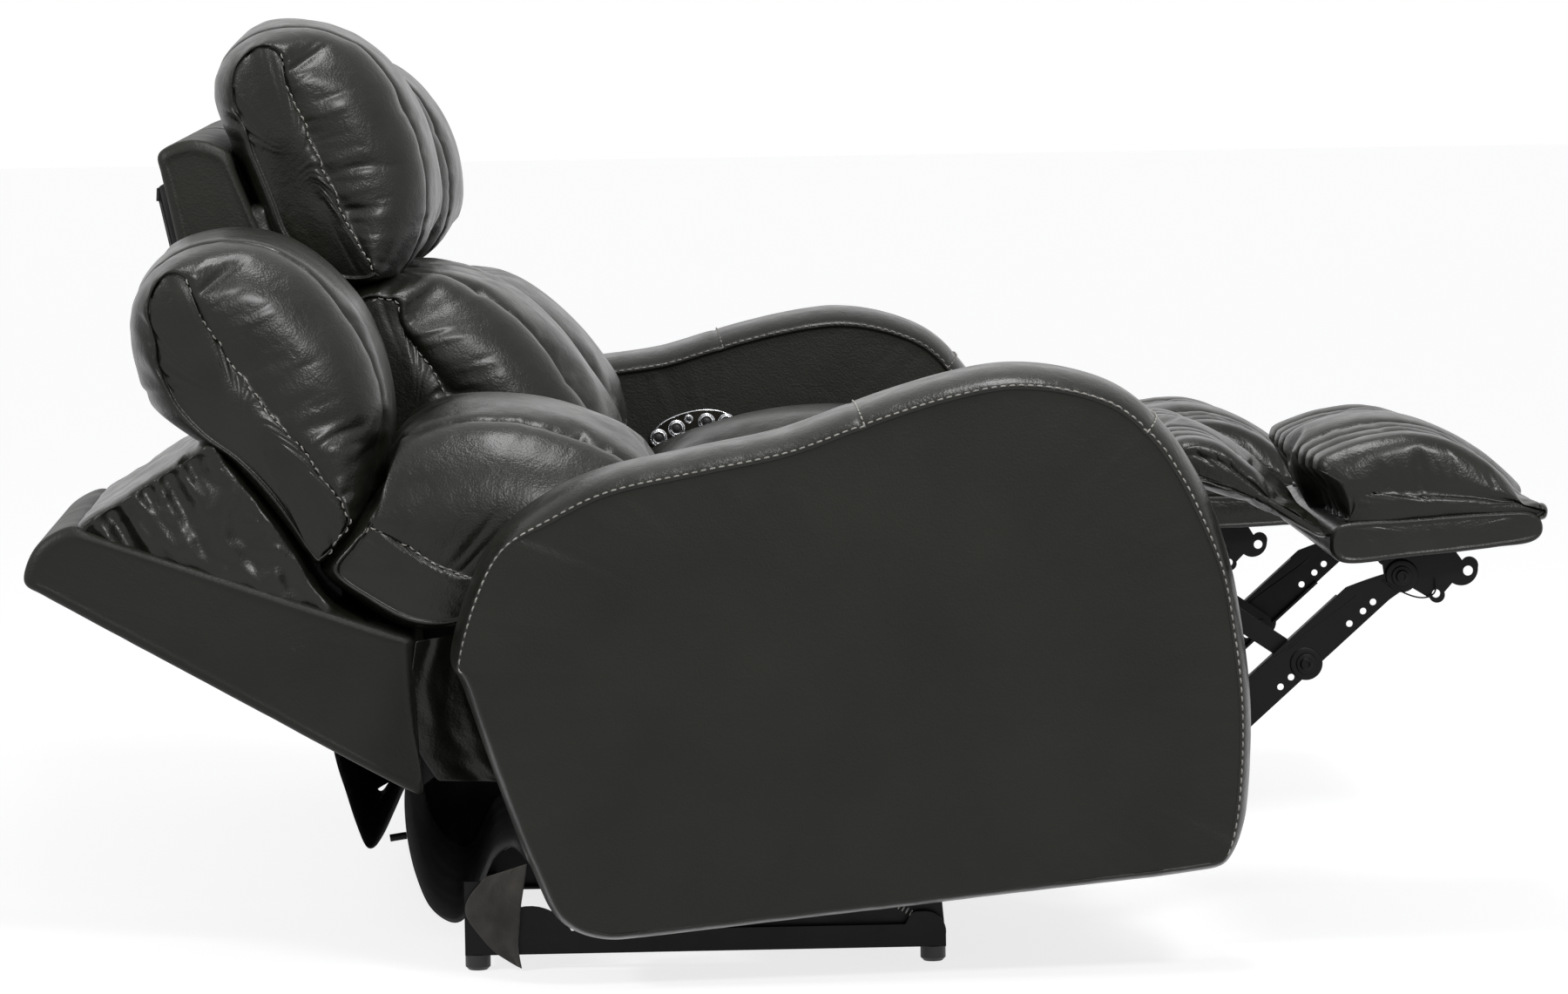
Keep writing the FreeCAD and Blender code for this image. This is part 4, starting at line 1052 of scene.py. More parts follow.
def cushion(name: str, spokes: Sequence[Spoke], run: tuple[Spot, Spot], **more: float) -> PaddedForm:
    """A back cushion: two channels, and side bolsters that are topstitched over one run."""
    return PaddedForm(name, spokes, 286, 96, (178.0,), dip=14, stitched_run=run, **more)


def boarded(name: str, spokes: Sequence[Spoke], half: float, roll: float, **more: float) -> PaddedForm:
    """Leather drawn over a board, which doesn't swell."""
    return PaddedForm(name, spokes, half, roll, fill=0.0, **{"room": 0.0, "crown": 0.0, **more})


FORMS = {form.name: form for form in (
    PaddedForm("seat", SEAT_SPOKES, 283, 62, (150.0,), floor=396.0, spare=0.02),
    cushion("lumbar", LUMBAR_SPOKES, ((366, 540), (492, 704)), spare=0.035, gather=4.0),
    cushion("centre_lumbar", CENTRE_LUMBAR_SPOKES, ((335, 546), (500, 768)), spare=0.035, gather=4.0),
    cushion("headrest", HEADREST_SPOKES, ((492, 796), (606, 1083)), spare=0.04, gather=4.3),
    cushion("raised_headrest", RAISED_HEADREST_SPOKES, ((532, 716), (612, 1085)), spare=0.04, gather=4.3),
    PaddedForm("pad", PAD_SPOKES, 284, 30, (80.0, 140.0, 200.0), dip=9, floor=BOARD_TOP, around=150, gather=2.0,
               room=16, panel_bulge=9.0),
    boarded("board", BOARD_SPOKES, 287, 7, around=150, step=40, gather=0.5, panel_bulge=2.0),
    PaddedForm("middle", MIDDLE_SPOKES, 277, 26, (80.0, 140.0, 200.0), dip=6, floor=433.4, around=130,
               gather=2.4, room=4, crown=3),
    boarded("arm", arm_spokes(), 93, 58, crown=3.0, around=300, step=18, gather=0.9, panel_bulge=2.0,
            step_in=3.0, stitched_run=ARM_STITCHED, cross_seams=ARM_CROSS_SEAMS),
    boarded("shell", SHELL_SPOKES, 287, 12, around=150, step=40, gather=0.5, panel_bulge=2.0),
    boarded("gusset", GUSSET_SPOKES, 280, 34, room=4.0, crown=2.0, around=150, step=30, gather=1.0,
            panel_bulge=6.0),
    boarded("box", BOX_SPOKES, 288, 11, around=260, step=36, gather=0.6, panel_bulge=1.5),
)}


class Seams(Enum):
    """Where a form is topstitched, as the side on which the run lies of each of its side seams."""

    NONE = None
    SIDES = (-1, 1)
    BORDER = (1, -1)


@dataclass(frozen=True)
class Bend:
    """Two bodies that a piece would bend between, and the places between which it would."""

    bodies: tuple[str, str]
    start: Point
    end: Point


@dataclass
class Upholstery:
    """One seat's cushions, with their seams. The seed makes its folds its own."""

    place: SeatPlace
    seed: int

    # Creases of the leather behind a headrest, slack and taut: their depth and the new mesh's cells.
    SLACK = (20.0, 8.0)
    TAUT = (5.0, 13.0)

    def body(self, part: str) -> str:
        """The moving body that carries a part of this seat."""
        return "%s_%s" % (self.place.tag, part) if self.place.side else "base"

    def bend(self, where: Matrix, start: Spot, end: Spot) -> Bend:
        """A bend from this seat's back to its headrest, between two spots of its side view.

        Args:
            where: the place of the part in which the spots are given.
            start: where the piece starts to follow the headrest, in millimetres.
            end: where it follows it wholly.

        Returns:
            The bend, in metres, where the seat stands.
        """
        ends = (tuple(where @ Vector((0.0, back * MM, rise * MM))) for back, rise in (start, end))
        return Bend((self.body("back"), self.body("head")), *ends)

    def add(self, form: str, label: str, part: str, where: Matrix, finish: Finish, number: int,
            fill: float | None = 0.7, seams: Seams = Seams.NONE, stands: bool = True,
            band: Finish | None = None, fold: float = 0.0, creases: Spot | None = None,
            bend: Bend | None = None) -> None:
        """Make one piece in the stead of its CAD node, with its stitches.

        Args:
            form: which padded form.
            label: the node's name without the seat's.
            part: the body's name without the seat's.
            where: the piece's place.
            finish: what it wears.
            number: added to the seed.
            fill: how full it is, or None where it isn't stuffed; not used.
            seams: where it is topstitched.
            stands: whether it stands for a node.
            band: what its band wears, where that is another finish.
            fold: degrees by which it is let down behind the headrest.
            creases: depth and fineness of its creases, where it is slack.
            bend: how it would bend, where it has one.
        """
        shape = FORMS[form]
        name = "%s_%s" % (self.place.tag, label)
        piece, kept = shape.made(name + "_leather", where, self.seed * 11 + number, finish,
                                 mirror=self.place.side > 0, band=band, fold=fold)
        if creases:
            crumple(piece, self.seed, *creases)
        self.carry(piece, part, bend)
        if stands:
            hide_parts(name)
        if seams.value:
            runs = [surface_run(piece, kept, shape.seam(r + beside))
                    for r, beside in zip((shape.first, shape.last), seams.value)]
            runs += [surface_run(piece, kept, shape.across(column + 1)) for column in shape.crossing]
            self.carry(stitched(name + "_topstitch", runs, shape.stitched_run is None), part, bend)
        log.info("%s: %d faces", piece.name, len(piece.data.polygons))

    def carry(self, piece: bpy.types.Object, part: str, bend: Bend | None) -> None:
        """Let a piece ride on its body, or, where it has a bend and the seat is one that moves, leave it fixed where it
        stands.

        Args:
            piece: the piece.
            part: the body's name without the seat's.
            bend: how it would bend, where it has one.
        """
        if bend and self.place.side:
            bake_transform(piece)
        else:
            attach(piece, self.body(part))

    def build(self) -> None:
        """Make every cushion of the seat."""
        place, seat, rear, head = self.place, self.place.seat(), self.place.rear(), self.place.head()
        self.add("seat", "seat_cushion", "seat", seat, LEATHER, 1, seams=Seams.SIDES)
        self.add("lumbar" if place.side else "centre_lumbar", "lumbar_cushion", "lumbar", place.lumbar(), LEATHER, 2,
                 seams=Seams.SIDES)
        if place is RIGHT:
            self.add("raised_headrest", "headrest", "head", head, LEATHER, 3, seams=Seams.SIDES,
                     bend=self.bend(head, RAISED_START, RAISED_END))
        else:
            lower = Matrix.Diagonal((1.0, 1.0, LOWER_SHARE if place is LEFT else 1.0, 1.0))
            lower = shift(0, 0, HEADREST_FOOT) @ lower @ shift(0, 0, -HEADREST_FOOT)
            self.add("headrest", "headrest", "head", head @ lower, LEATHER, 3, seams=Seams.SIDES)
        self.add("shell", "back_shell", "back", rear, PANEL_LEATHER, 4, fill=None)
        self.add("gusset", "headrest_gusset", "back", rear, LEATHER, 9, fill=0.2, stands=False,
                 fold=HEAD_RAISED - place.head_turn, creases=self.SLACK if place is RIGHT else self.TAUT,
                 bend=self.bend(rear, GUSSET_START, GUSSET_END))
        if place.side:
            self.add("pad", "footrest_pad", "footrest", seat, LEATHER, 5)
            self.add("board", "footrest_board", "footrest", seat, LEATHER, 7, fill=None)
            self.add("middle", "mid_pad", "middle_pad", seat, LEATHER, 6)
            self.add("arm", "arm", "seat", seat @ shift(place.side * (HALF_SEAT + HALF_ARM), 0, 0), PANEL_LEATHER, 8,
                     fill=0.95, seams=Seams.BORDER, band=LEATHER)
        else:
            self.add("box", "seat_box", "seat", seat, PANEL_LEATHER, 10, fill=None)


# The creases' noise, in metres: the steps of the wide ones across the seat, down the leather and through
# it, and of the fine ones; how sharp each are and how much they count; the level that stays in place.
WIDE_STEPS = (0.09, 0.15, 0.035)
FINE_STEPS = (0.05, 0.035, 0.035)
WIDE_SHARP, FINE_SHARP = 2.2, 2.0
WIDE_SHARE, FINE_SHARE = 0.75, 0.25
CREASE_LEVEL = 0.6
# The way down the gathered leather, as shares of back and height, and its share of what looks sideways.
DOWN = (0.5, 0.87)
FRONT_SHARE = 0.12


def crumple(piece: bpy.types.Object, seed: int, depth: float, cell: float) -> None:
    """Work long, sharp creases into slack leather, as when a bag of it is pushed together.

    The creases are the ridges of two layers of noise, and are deepest where the leather looks sideways.

    Args:
        piece: the piece, which is meshed anew.
        seed: a number that makes them its own.
        depth: how deep the creases are, in millimetres.
        cell: size of the new mesh's faces, in millimetres.
    """
    only(piece)
    piece.data.remesh_voxel_size = cell * MM
    bpy.ops.object.voxel_remesh()
    for _ in range(2):
        places, ways = read(piece), read(piece, "normal")
        rise = np.empty(len(places))
        for i, (x, y, z) in enumerate(places):
            down, over = DOWN[0] * y + DOWN[1] * z, DOWN[1] * y - DOWN[0] * z
            wide = wander(x / WIDE_STEPS[0] + seed, down / WIDE_STEPS[1], over / WIDE_STEPS[2])
            fine = wander(x / FINE_STEPS[0], y / FINE_STEPS[1] + seed, z / FINE_STEPS[2])
            rise[i] = (WIDE_SHARE * (1 - abs(wide) * WIDE_SHARP) + FINE_SHARE * (1 - abs(fine) * FINE_SHARP)
                       - CREASE_LEVEL)
        sideways = FRONT_SHARE + (1 - FRONT_SHARE) * np.abs(ways[:, 0]) ** 2
        write_points(piece, places + ways * (rise * sideways * depth * MM / 2)[:, None])
    rounded(piece)


def leather_sheet(name: str, grid: np.ndarray, outer: Finish, inner: Finish | None = None) -> bpy.types.Object:
    """Leather of an even thickness over a grid of points.

    Args:
        name: the sheet's name.
        grid: places in metres, by column and row.
        outer: the finish of the leather.
        inner: the finish of its other face, where that shows.

    Returns:
        The sheet.
    """
    columns, rows = grid.shape[:2]
    faces = [(c * rows + r, (c + 1) * rows + r, (c + 1) * rows + r + 1, c * rows + r + 1)
             for c in range(columns - 1) for r in range(rows - 1)]
    piece = new_piece(name, grid.reshape(-1, 3), faces)
    wear(piece, outer)
    if inner:
        piece.data.materials.append(inner.make())
    thickness = piece.modifiers.new("thickness", "SOLIDIFY")
    thickness.thickness, thickness.offset = SHEET_THICK * MM, 0.0
    thickness.material_offset = 1 if inner else 0
    rounded(piece)
    return piece


@dataclass
class HangingSheet:
    """Leather that hangs in folds: its line from the side, swept across the seat with slow waves."""

    name: str
    near: Line
    far: Line
    ends: Spot
    rests_on: Sequence[str]
    wave: float = 6.0
    flare: float = 0.0
    rows: int = 64
    columns: int = 40

    # Two layers of folds: how much of each, and its steps across, along and its own seed.
    FOLDS = ((1.0, 140, 22, 3.7), (0.4, 45, 9, 1.3))
    # How much of its folds the near edge has, and how fast they grow across the sheet.
    NEAR_FOLDS = 0.25
    FOLDS_GROW = 4.0
    # The height below which the near edge flares out, over how much height, how fast the flare falls off
    # across the sheet, and the gap to the floor.
    FLARE_FROM = 185.0
    FLARE_OVER = 60.0
    FLARE_FALL = 6
    FLOOR_GAP = 1.5

    def build(self) -> bpy.types.Object:
        """Make the sheet where it hangs in the photographed pose.

        Returns:
            The sheet.
        """
        near, far = (open_curve(line, self.rows) for line in (self.near, self.far))
        grid = np.empty((self.columns, self.rows, 3))
        for c in range(self.columns):
            share = c / (self.columns - 1)
            x = self.ends[0] + (self.ends[1] - self.ends[0]) * share
            line = near + (far - near) * share
            along = np.gradient(line, axis=0)
            out = np.column_stack([along[:, 1], -along[:, 0]]) / np.linalg.norm(along, axis=1)[:, None]
            for r, (spot, way) in enumerate(zip(line, out)):
                pull = math.sin(math.pi * r / (self.rows - 1)) ** 0.5
                sway = sum(much * wander(x / across, r / down, own) for much, across, down, own in self.FOLDS)
                deep = self.wave * pull * min(1.0, self.FOLDS_GROW * share + self.NEAR_FOLDS)
                back, rise = spot + way * sway * deep
                low = min(max((self.FLARE_FROM - rise) / self.FLARE_OVER, 0.0), 1.0)
                flared = self.flare * low * (1 - share) ** self.FLARE_FALL
                grid[c, r] = (x - flared) * MM, back * MM, max(rise, self.FLOOR_GAP) * MM
        piece = leather_sheet(self.name, grid, LEATHER, LINING)
        return piece


@dataclass
class SideSheet:
    """Leather that faces the side, spanned between its rear and its front edge, with shallow folds."""

    name: str
    rear: Line
    front: Line
    ends: Spot
    finish: Finish
    wave: float
    rows: int = 40
    columns: int = 24

    # Waves across the sheet, rows to a wave along it, and the steps of the noise among them.
    WAVES = 9
    WAVE_ROWS = 9
    NOISE_STEPS = (8, 0.2)
    # The least area that a sheet of this size may have, as a share of its two sides' product.
    LEAST_AREA = 0.31

    def build(self) -> bpy.types.Object:
        """Make the sheet where it hangs in the photographed pose.

        Returns:
            The sheet.
        """
        rear, front = (open_curve(edge, self.rows) for edge in (self.rear, self.front))
        grid = np.empty((self.columns, self.rows, 3))
        for c in range(self.columns):
            share = c / (self.columns - 1)
            for r in range(self.rows):
                back, rise = rear[r] + (front[r] - rear[r]) * share
                waves = math.sin(share * self.WAVES + r / self.WAVE_ROWS)
                uneven = wander(r / self.NOISE_STEPS[0], share / self.NOISE_STEPS[1], 0)
                fold = math.sin(share * math.pi) * (waves + uneven)
                x = self.ends[0] + (self.ends[1] - self.ends[0]) * share + fold * self.wave
                grid[c, r] = x * MM, back * MM, rise * MM
        piece = leather_sheet(self.name, grid, self.finish)
        return piece


# The lines of the sheets, as (back, height) in the photographed pose.

CURTAIN = [(448, 330), (456, 262), (466, 205), (462, 151), (445, 93), (428, 68), (405, 58), (388, 76),
           (373, 108), (362, 132), (347, 144), (334, 143), (318, 124), (306, 108)]
CURTAIN_FAR = [(440, 330), (448, 262), (455, 205), (452, 155), (438, 105), (420, 82), (402, 74), (386, 88),
               (374, 114), (362, 134), (347, 143), (334, 142), (318, 124), (306, 108)]
TAIL = ([(372, 112), (392, 88), (396, 68), (381, 44), (364, 24), (347, 12), (333, 4)],
        [(322, 128), (325, 108), (330, 78), (332, 55), (334, 34), (333, 18), (331, 3)])
CURTAIN_END = ([(447, 326), (455, 262), (462, 205), (460, 155), (445, 102), (423, 76), (402, 67)],
               [(310, 326), (310, 262), (312, 205), (330, 160), (352, 143), (376, 108), (396, 70)])
SIDE = ([(449, 392), (455, 350), (458, 310), (452, 270), (434, 238), (425, 226)],
        [(388, 400), (392, 352), (382, 310), (362, 268), (340, 238), (322, 220)])
FLAP = [(650, 452), (622, 390), (596, 320), (574, 240), (562, 177), (554, 146), (542, 104), (525, 66), (508, 82),
        (489, 121), (474, 150), (448, 164), (418, 156), (392, 128)]
FLAP_END = ([(590, 300), (574, 240), (562, 177), (554, 146), (542, 104), (528, 72)],
            [(420, 300), (424, 240), (452, 168), (476, 150), (491, 121), (511, 82)])


@dataclass
class RearLeather:
    """The leather that closes the seats below their backs."""

    half_flap: float = 284.0
    # The left flap is the centre's, further back at the top and drawn up below it.
    upper_back: float = 8.0
    drawn_from: float = 200.0
    lowest: float = 66.0
    raised_to: float = 118.0
    drawn_up: float = 0.6

    # Between which places the two sheets that join a seat and its back would bend, in metres.
    SIDE_BEND = ((-0.86, 0.37, 0.30), (-0.86, 0.455, 0.33))
    FLAP_BEND = ((0.586, 0.44, 0.20), (0.586, 0.64, 0.44))

    def left_line(self) -> list[Spot]:
        """The left flap's line."""
        return [(y + self.upper_back, z) if z > self.drawn_from else
                (y, self.raised_to + (z - self.lowest) * self.drawn_up) for y, z in FLAP]

    def build(self) -> None:
        """Hang each sheet; the right curtain's sheets ride on the right seat and the centre's on the base, while the
        right side gusset and the left flap stay where they hang.
        """
        curtain = HangingSheet("right_curtain_leather", CURTAIN, CURTAIN_FAR, (-832, -340),
                               ["right_back_shell", "right_seat_frame"], flare=43.0).build()
        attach(curtain, "right_seat")
        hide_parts("right_curtain")
        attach(SideSheet("right_curtain_tail", *TAIL, (-877, -883), FLESH_SIDE, 0.6).build(), "right_seat")
        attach(SideSheet("right_curtain_end", *CURTAIN_END, (-344, -344), LINING, 2.0).build(), "right_seat")
        side = SideSheet("right_side_gusset", *SIDE, (-868, -846), LEATHER, 2.2).build()
        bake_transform(side)
        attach(HangingSheet("centre_dust_flap", FLAP, FLAP, (-self.half_flap, self.half_flap),
                             ["centre_back_shell", "base_frame"], wave=9.0).build(), "base")
        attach(SideSheet("centre_dust_flap_end", *FLAP_END, (280, 280), LINING, 1.0).build(), "base")
        line = self.left_line()
        flap = HangingSheet("left_dust_flap", line, line, (SEAT_PITCH - self.half_flap, SEAT_PITCH + self.half_flap),
                            ["left_back_shell"], wave=9.0).build()
        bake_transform(flap)


# Small parts of metal.

def pick_faces(piece: bpy.types.Object, wanted: Callable[[bpy.types.MeshPolygon], bool]) -> None:
    """Enter edit mode with just the faces that a test accepts.

    Args:
        piece: the piece.
        wanted: tells whether a face is picked.
    """
    only(piece)
    bpy.ops.object.mode_set(mode="EDIT")
    bpy.ops.mesh.select_mode(type="FACE")
    bpy.ops.mesh.select_all(action="DESELECT")
    bpy.ops.object.mode_set(mode="OBJECT")
    for face in piece.data.polygons:
        face.select = wanted(face)
    bpy.ops.object.mode_set(mode="EDIT")


def turned(name: str, profile: Line, finish: Finish, sides: int = 40, centre: Finish | None = None,
           centre_radius: float = 0.0) -> bpy.types.Object:
    """A round piece drawn up from a disc, ring by ring, along +Z.

    Args:
        name: the piece's name.
        profile: (radius, height) of each ring in millimetres, from the foot up.
        finish: what it wears.
        sides: number of its sides.
        centre: what its middle wears, where that is another finish.
        centre_radius: how far the middle reaches.

    Returns:
        The piece, at the origin.
    """
    (first, low), (second, high) = profile[:2]
    only(None)
    bpy.ops.mesh.primitive_cylinder_add(vertices=sides, radius=first * MM, depth=(high - low) * MM,
                                        location=(0, 0, (low + high) / 2 * MM))
    piece = named(name)
    pick_faces(piece, lambda face: face.normal.z > 0.9)
    bpy.ops.transform.resize(value=(second / first, second / first, 1), center_override=(0, 0, 0))
    for (wide, below), (narrow, above) in zip(profile[1:], profile[2:]):
        bpy.ops.mesh.extrude_region_move(TRANSFORM_OT_translate={"value": (0, 0, (above - below) * MM)})
        bpy.ops.transform.resize(value=(narrow / wide, narrow / wide, 1), center_override=(0, 0, 0))
    bpy.ops.object.mode_set(mode="OBJECT")
    edge = piece.modifiers.new("edges", "BEVEL")
    edge.width, edge.segments, edge.limit_method = 0.25 * MM, 2, "ANGLE"
    apply_all(piece)
    wear(piece, finish)
    if centre:
        piece.data.materials.append(centre.make())
        for face in piece.data.polygons:
            if math.hypot(face.center.x, face.center.y) < centre_radius * MM and face.center.z > high * MM * 0.5:
                face.material_index = 1
    piece.data.shade_smooth()
    return piece


def wire(name: str, points: Sequence[Point], thick: float, finish: Finish, closed: bool = False) -> bpy.types.Object:
    """Bent round bar along a smooth line.

    Args:
        name: the piece's name.
        points: the line, in millimetres.
        thick: the bar's diameter in millimetres.
        finish: what it wears.
        closed: whether it comes back to its start.

    Returns:
        The bar, as a mesh.
    """
    curve = bpy.data.curves.new(name, "CURVE")
    curve.dimensions = "3D"
    line = curve.splines.new("NURBS")
    line.points.add(len(points) - 1)
    for point, (x, y, z) in zip(line.points, points):
        point.co = (x * MM, y * MM, z * MM, 1.0)
    line.order_u = 3
    line.use_endpoint_u = not closed
    line.use_cyclic_u = closed
    line.resolution_u = 6
    curve.bevel_depth = thick / 2 * MM
    curve.bevel_resolution = 3
    curve.use_fill_caps = not closed
    piece = bpy.data.objects.new(name, curve)
    bpy.context.scene.collection.objects.link(piece)
    only(piece)
    bpy.ops.object.convert(target="MESH")
    piece = bpy.context.active_object
    wear(piece, finish)
    piece.data.shade_smooth()
    return piece


@dataclass
class ControlPlate:
    """The switch plate on one arm's inner face: its rims and its ringed buttons."""

    place: SeatPlace
    back: float = 65.0
    low: float = 500.0
    half_length: float = 61.5
    rise: float = 31.5
    slope: float = 12.0
    face: float = 284.0

    # Place along the plate, height above its foot and radius of each button, in millimetres.
    BUTTONS = {"close_button": (50, 10.5, 10.5), "open_button": (22, 17.5, 10.5), "home_button": (2, 27, 4.5),
               "headrest_up_button": (-22, 17.5, 10.5), "headrest_down_button": (-50, 10.5, 10.5)}
    LARGE = 10.5
    # The socket's corners, each twice, so that the rim turns sharply there.
    SOCKET = [corner for corner in ((-7.5, 1.8), (7.5, 1.8), (7.5, 10.6), (-7.5, 10.6)) for _ in range(2)]

    def plane(self) -> Matrix:
        """Place of the plate, in the seat as it stands."""
        return self.place.seat() @ about(-self.slope, (self.back, self.low))

    def stand(self, piece: bpy.types.Object, along: float, above: float, body: str) -> None:
        """Put a turned piece on the plate, facing the sitter, and let it ride.

        Args:
            piece: the piece.
            along: its place along the plate.
            above: its height above the plate's foot.
            body: what carries it.
        """
        way = Matrix.Rotation(math.radians(-90 * self.place.side), 4, "Y")
        spot = shift(self.place.side * self.face, self.back + along, self.low + above)
        piece.data.transform(self.plane() @ spot @ way)
        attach(piece, body)

    def rim(self, label: str, outline: Line, thick: float) -> None:
        """A chrome rim along a closed outline on the plate.

        Args:
            label: its name without the seat's.
            outline: places along the plate and above its foot.
            thick: its thickness.
        """
        points = [(self.place.side * (self.face - 0.2), self.back + a, self.low + h) for a, h in outline]
        piece = wire("%s_%s" % (self.place.tag, label), points, thick, CHROME, closed=True)
        piece.data.transform(self.plane())
        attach(piece, self.place.tag + "_seat")

    def build(self) -> None:
        """Make the rims, the rings and the buttons."""
        tag, half = self.place.tag, self.half_length
        arch = [(half * math.cos(t), 5 + self.rise * math.sin(t) ** 0.9) for t in np.linspace(0, math.pi, 25)]
        foot = [(a, 1.4) for a in np.linspace(-half + 6, half - 6, 12)]
        self.rim("plate_rim", arch + foot, 2.6)
        self.rim("socket_rim", self.SOCKET, 1.3)
        for label, (along, above, r) in self.BUTTONS.items():
            node = "%s_%s" % (tag, label)
            scale = r / self.LARGE
            ring = turned(node + "_ring", [(r + 2.2, -0.6), (r + 2.0, 0.9), (r + 1.2, 1.5), (r + 0.7, 1.5),
                                           (r + 0.5, 0.3), (r * 0.5, 0.3)], CHROME)
            self.stand(ring, along, above, tag + "_seat")
            cap = turned(node + "_cap", [(r - 0.2, -2.6), (r - 0.2, 1.6), (r - 0.9, 2.5), (r - 2.6 * scale, 2.8),
                                         (r - 3.4 * scale, 1.9), (r * 0.52, 1.8), (r * 0.47, 2.4), (r * 0.3, 2.8),
                                         (r * 0.1, 3.0)], CHROME, centre=POLYPROPYLENE, centre_radius=r - 3.2 * scale)
            self.stand(cap, along, above, node + "_body")
            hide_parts(node)


@dataclass
class Hardware:
    """Bolts, springs and rods of the mechanism, which are too small for the frame's own solids."""

    coil_radius: float = 8.0
    coil_thick: float = 2.4
    coil_pitch: float = 5.2
    coil_turns: int = 9
    coil_slope: float = 122.0
    rod_across: float = -297.0

    # (radius, height) of a bolt's head and of a boss's ring.
    BOLT = [(12.0, -0.3), (12.0, 0.9), (11.2, 1.2), (7.6, 1.2), (7.4, 4.0), (6.2, 4.9), (3.6, 5.1), (3.4, 2.4)]
    BOSS = [(20.0, -0.3), (18.4, 1.0), (15.0, 1.5), (11.0, 1.5), (10.2, 0.7), (7.0, 0.7)]
    # The link that each pivot's fasteners ride on, and where its boss and its bolt's head start.
    PIVOTS = {"footrest_turn": ("channel", 247.0, 250.5), "cross_link_turn": ("channel", 247.0, 250.5),
              "channel_turn": ("crank", 251.0, 257.0)}
    # Wires of each seat: name, distance from its middle, line, thickness, body and slot.
    WIRES = (
        ("channel_rib", 245.6, ((-431, 281), (-440, 286), (-490, 318), (-550, 354), (-556, 360)), 4.4,
         "channel", "black_steel"),
        ("bracket_wire", 249.0, ((-588, 376), (-600, 366), (-622, 353), (-640, 350), (-652, 358), (-650, 372)), 2.0,
         "footrest", "spring_steel"),
    )
    COIL_SPOT = (262, 12, 66)
    # The rear rod and its thicker end: name, thickness and line.
    RODS = (("rear_rod", 6.0, ((372, 96), (420, 92), (470, 87), (486, 85))),
            ("rear_rod_end", 9.5, ((476, 86), (484, 85), (490, 84), (497, 83))))

    def fasten(self, name: str, profile: Line, spot: Point, side: int, body: str) -> None:
        """Set a turned fastener on a face that looks sideways.

        Args:
            name: its name.
            profile: (radius, height) of its rings.
            spot: where it stands, in metres.
            side: the side that it looks to.
            body: what carries it.
        """
        piece = turned(name, profile, POWDER_COAT, 32)
        piece.data.transform(Matrix.Translation(Vector(spot)) @ Matrix.Rotation(math.radians(90 * side), 4, "Y"))
        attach(piece, body)

    def build(self) -> None:
        """Make the small parts of every seat."""
        for joint in frame["record"]["behaviour"]["joints"]:
            for ending, (part, web, head) in self.PIVOTS.items():
                if joint["name"].endswith(ending):
                    tag = joint["name"].split("_")[0]
                    body = "%s_%s" % (tag, part)
                    x, y, z = joint["pos_m"]
                    for side in (-1, 1):
                        label = "%s_%s_%s" % (tag, ending, "outer" if side * x > 0 else "inner")
                        self.fasten(label + "_bolt", self.BOLT, (x + side * head * MM, y, z), side, body)
                        if part == "channel":
                            self.fasten(label + "_boss", self.BOSS, (x + side * web * MM, y, z), side, body)
        for place in (RIGHT, LEFT):
            for side in (-1, 1):
                self.small_parts(place, side)
        for name, thick, line in self.RODS:
            rod = wire(name, [(self.rod_across, y, z) for y, z in line], thick, POWDER_COAT)
            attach(rod, "base")

    def small_parts(self, place: SeatPlace, side: int) -> None:
        """The pressed groove, the wire hook and the tilt spring on one side of a seat.

        Args:
            place: the seat.
            side: -1 or 1.
        """
        number = 1 + (side > 0)
        for name, across, line, thick, body, slot in self.WIRES:
            piece = wire("%s_%s_%d" % (place.tag, name, number), [(side * across, y, z) for y, z in line], thick,
                         POWDER_COAT)
            piece.data.transform(place.seat())
            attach(piece, "%s_%s" % (place.tag, body))
        coil = self.coil("%s_tilt_spring_%d" % (place.tag, number))
        across, back, low = self.COIL_SPOT
        coil.data.transform(place.carriage() @ shift(side * across, back, low)
                            @ Matrix.Rotation(math.radians(self.coil_slope), 4, "X"))
        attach(coil, place.tag + "_carriage_body")

    def coil(self, name: str) -> bpy.types.Object:
        """A wound spring along +Z.

        Args:
            name: the spring's name.

        Returns:
            The spring, at the origin.
        """
        only(None)
        bpy.ops.mesh.primitive_circle_add(vertices=10, radius=self.coil_thick / 2 * MM,
                                          location=(self.coil_radius * MM, 0, 0), rotation=(math.pi / 2, 0, 0))
        piece = named(name)
        winding = piece.modifiers.new("winding", "SCREW")
        winding.axis, winding.screw_offset, winding.iterations = "Z", self.coil_pitch * MM, self.coil_turns
        winding.steps = winding.render_steps = 20
        apply_all(piece)
        bpy.ops.object.mode_set(mode="EDIT")
        bpy.ops.mesh.select_all(action="SELECT")
        bpy.ops.mesh.fill_holes(sides=0)
        bpy.ops.mesh.normals_make_consistent(inside=False)
        bpy.ops.object.mode_set(mode="OBJECT")
        wear(piece, ZINC)
        piece.data.shade_smooth()
        return piece


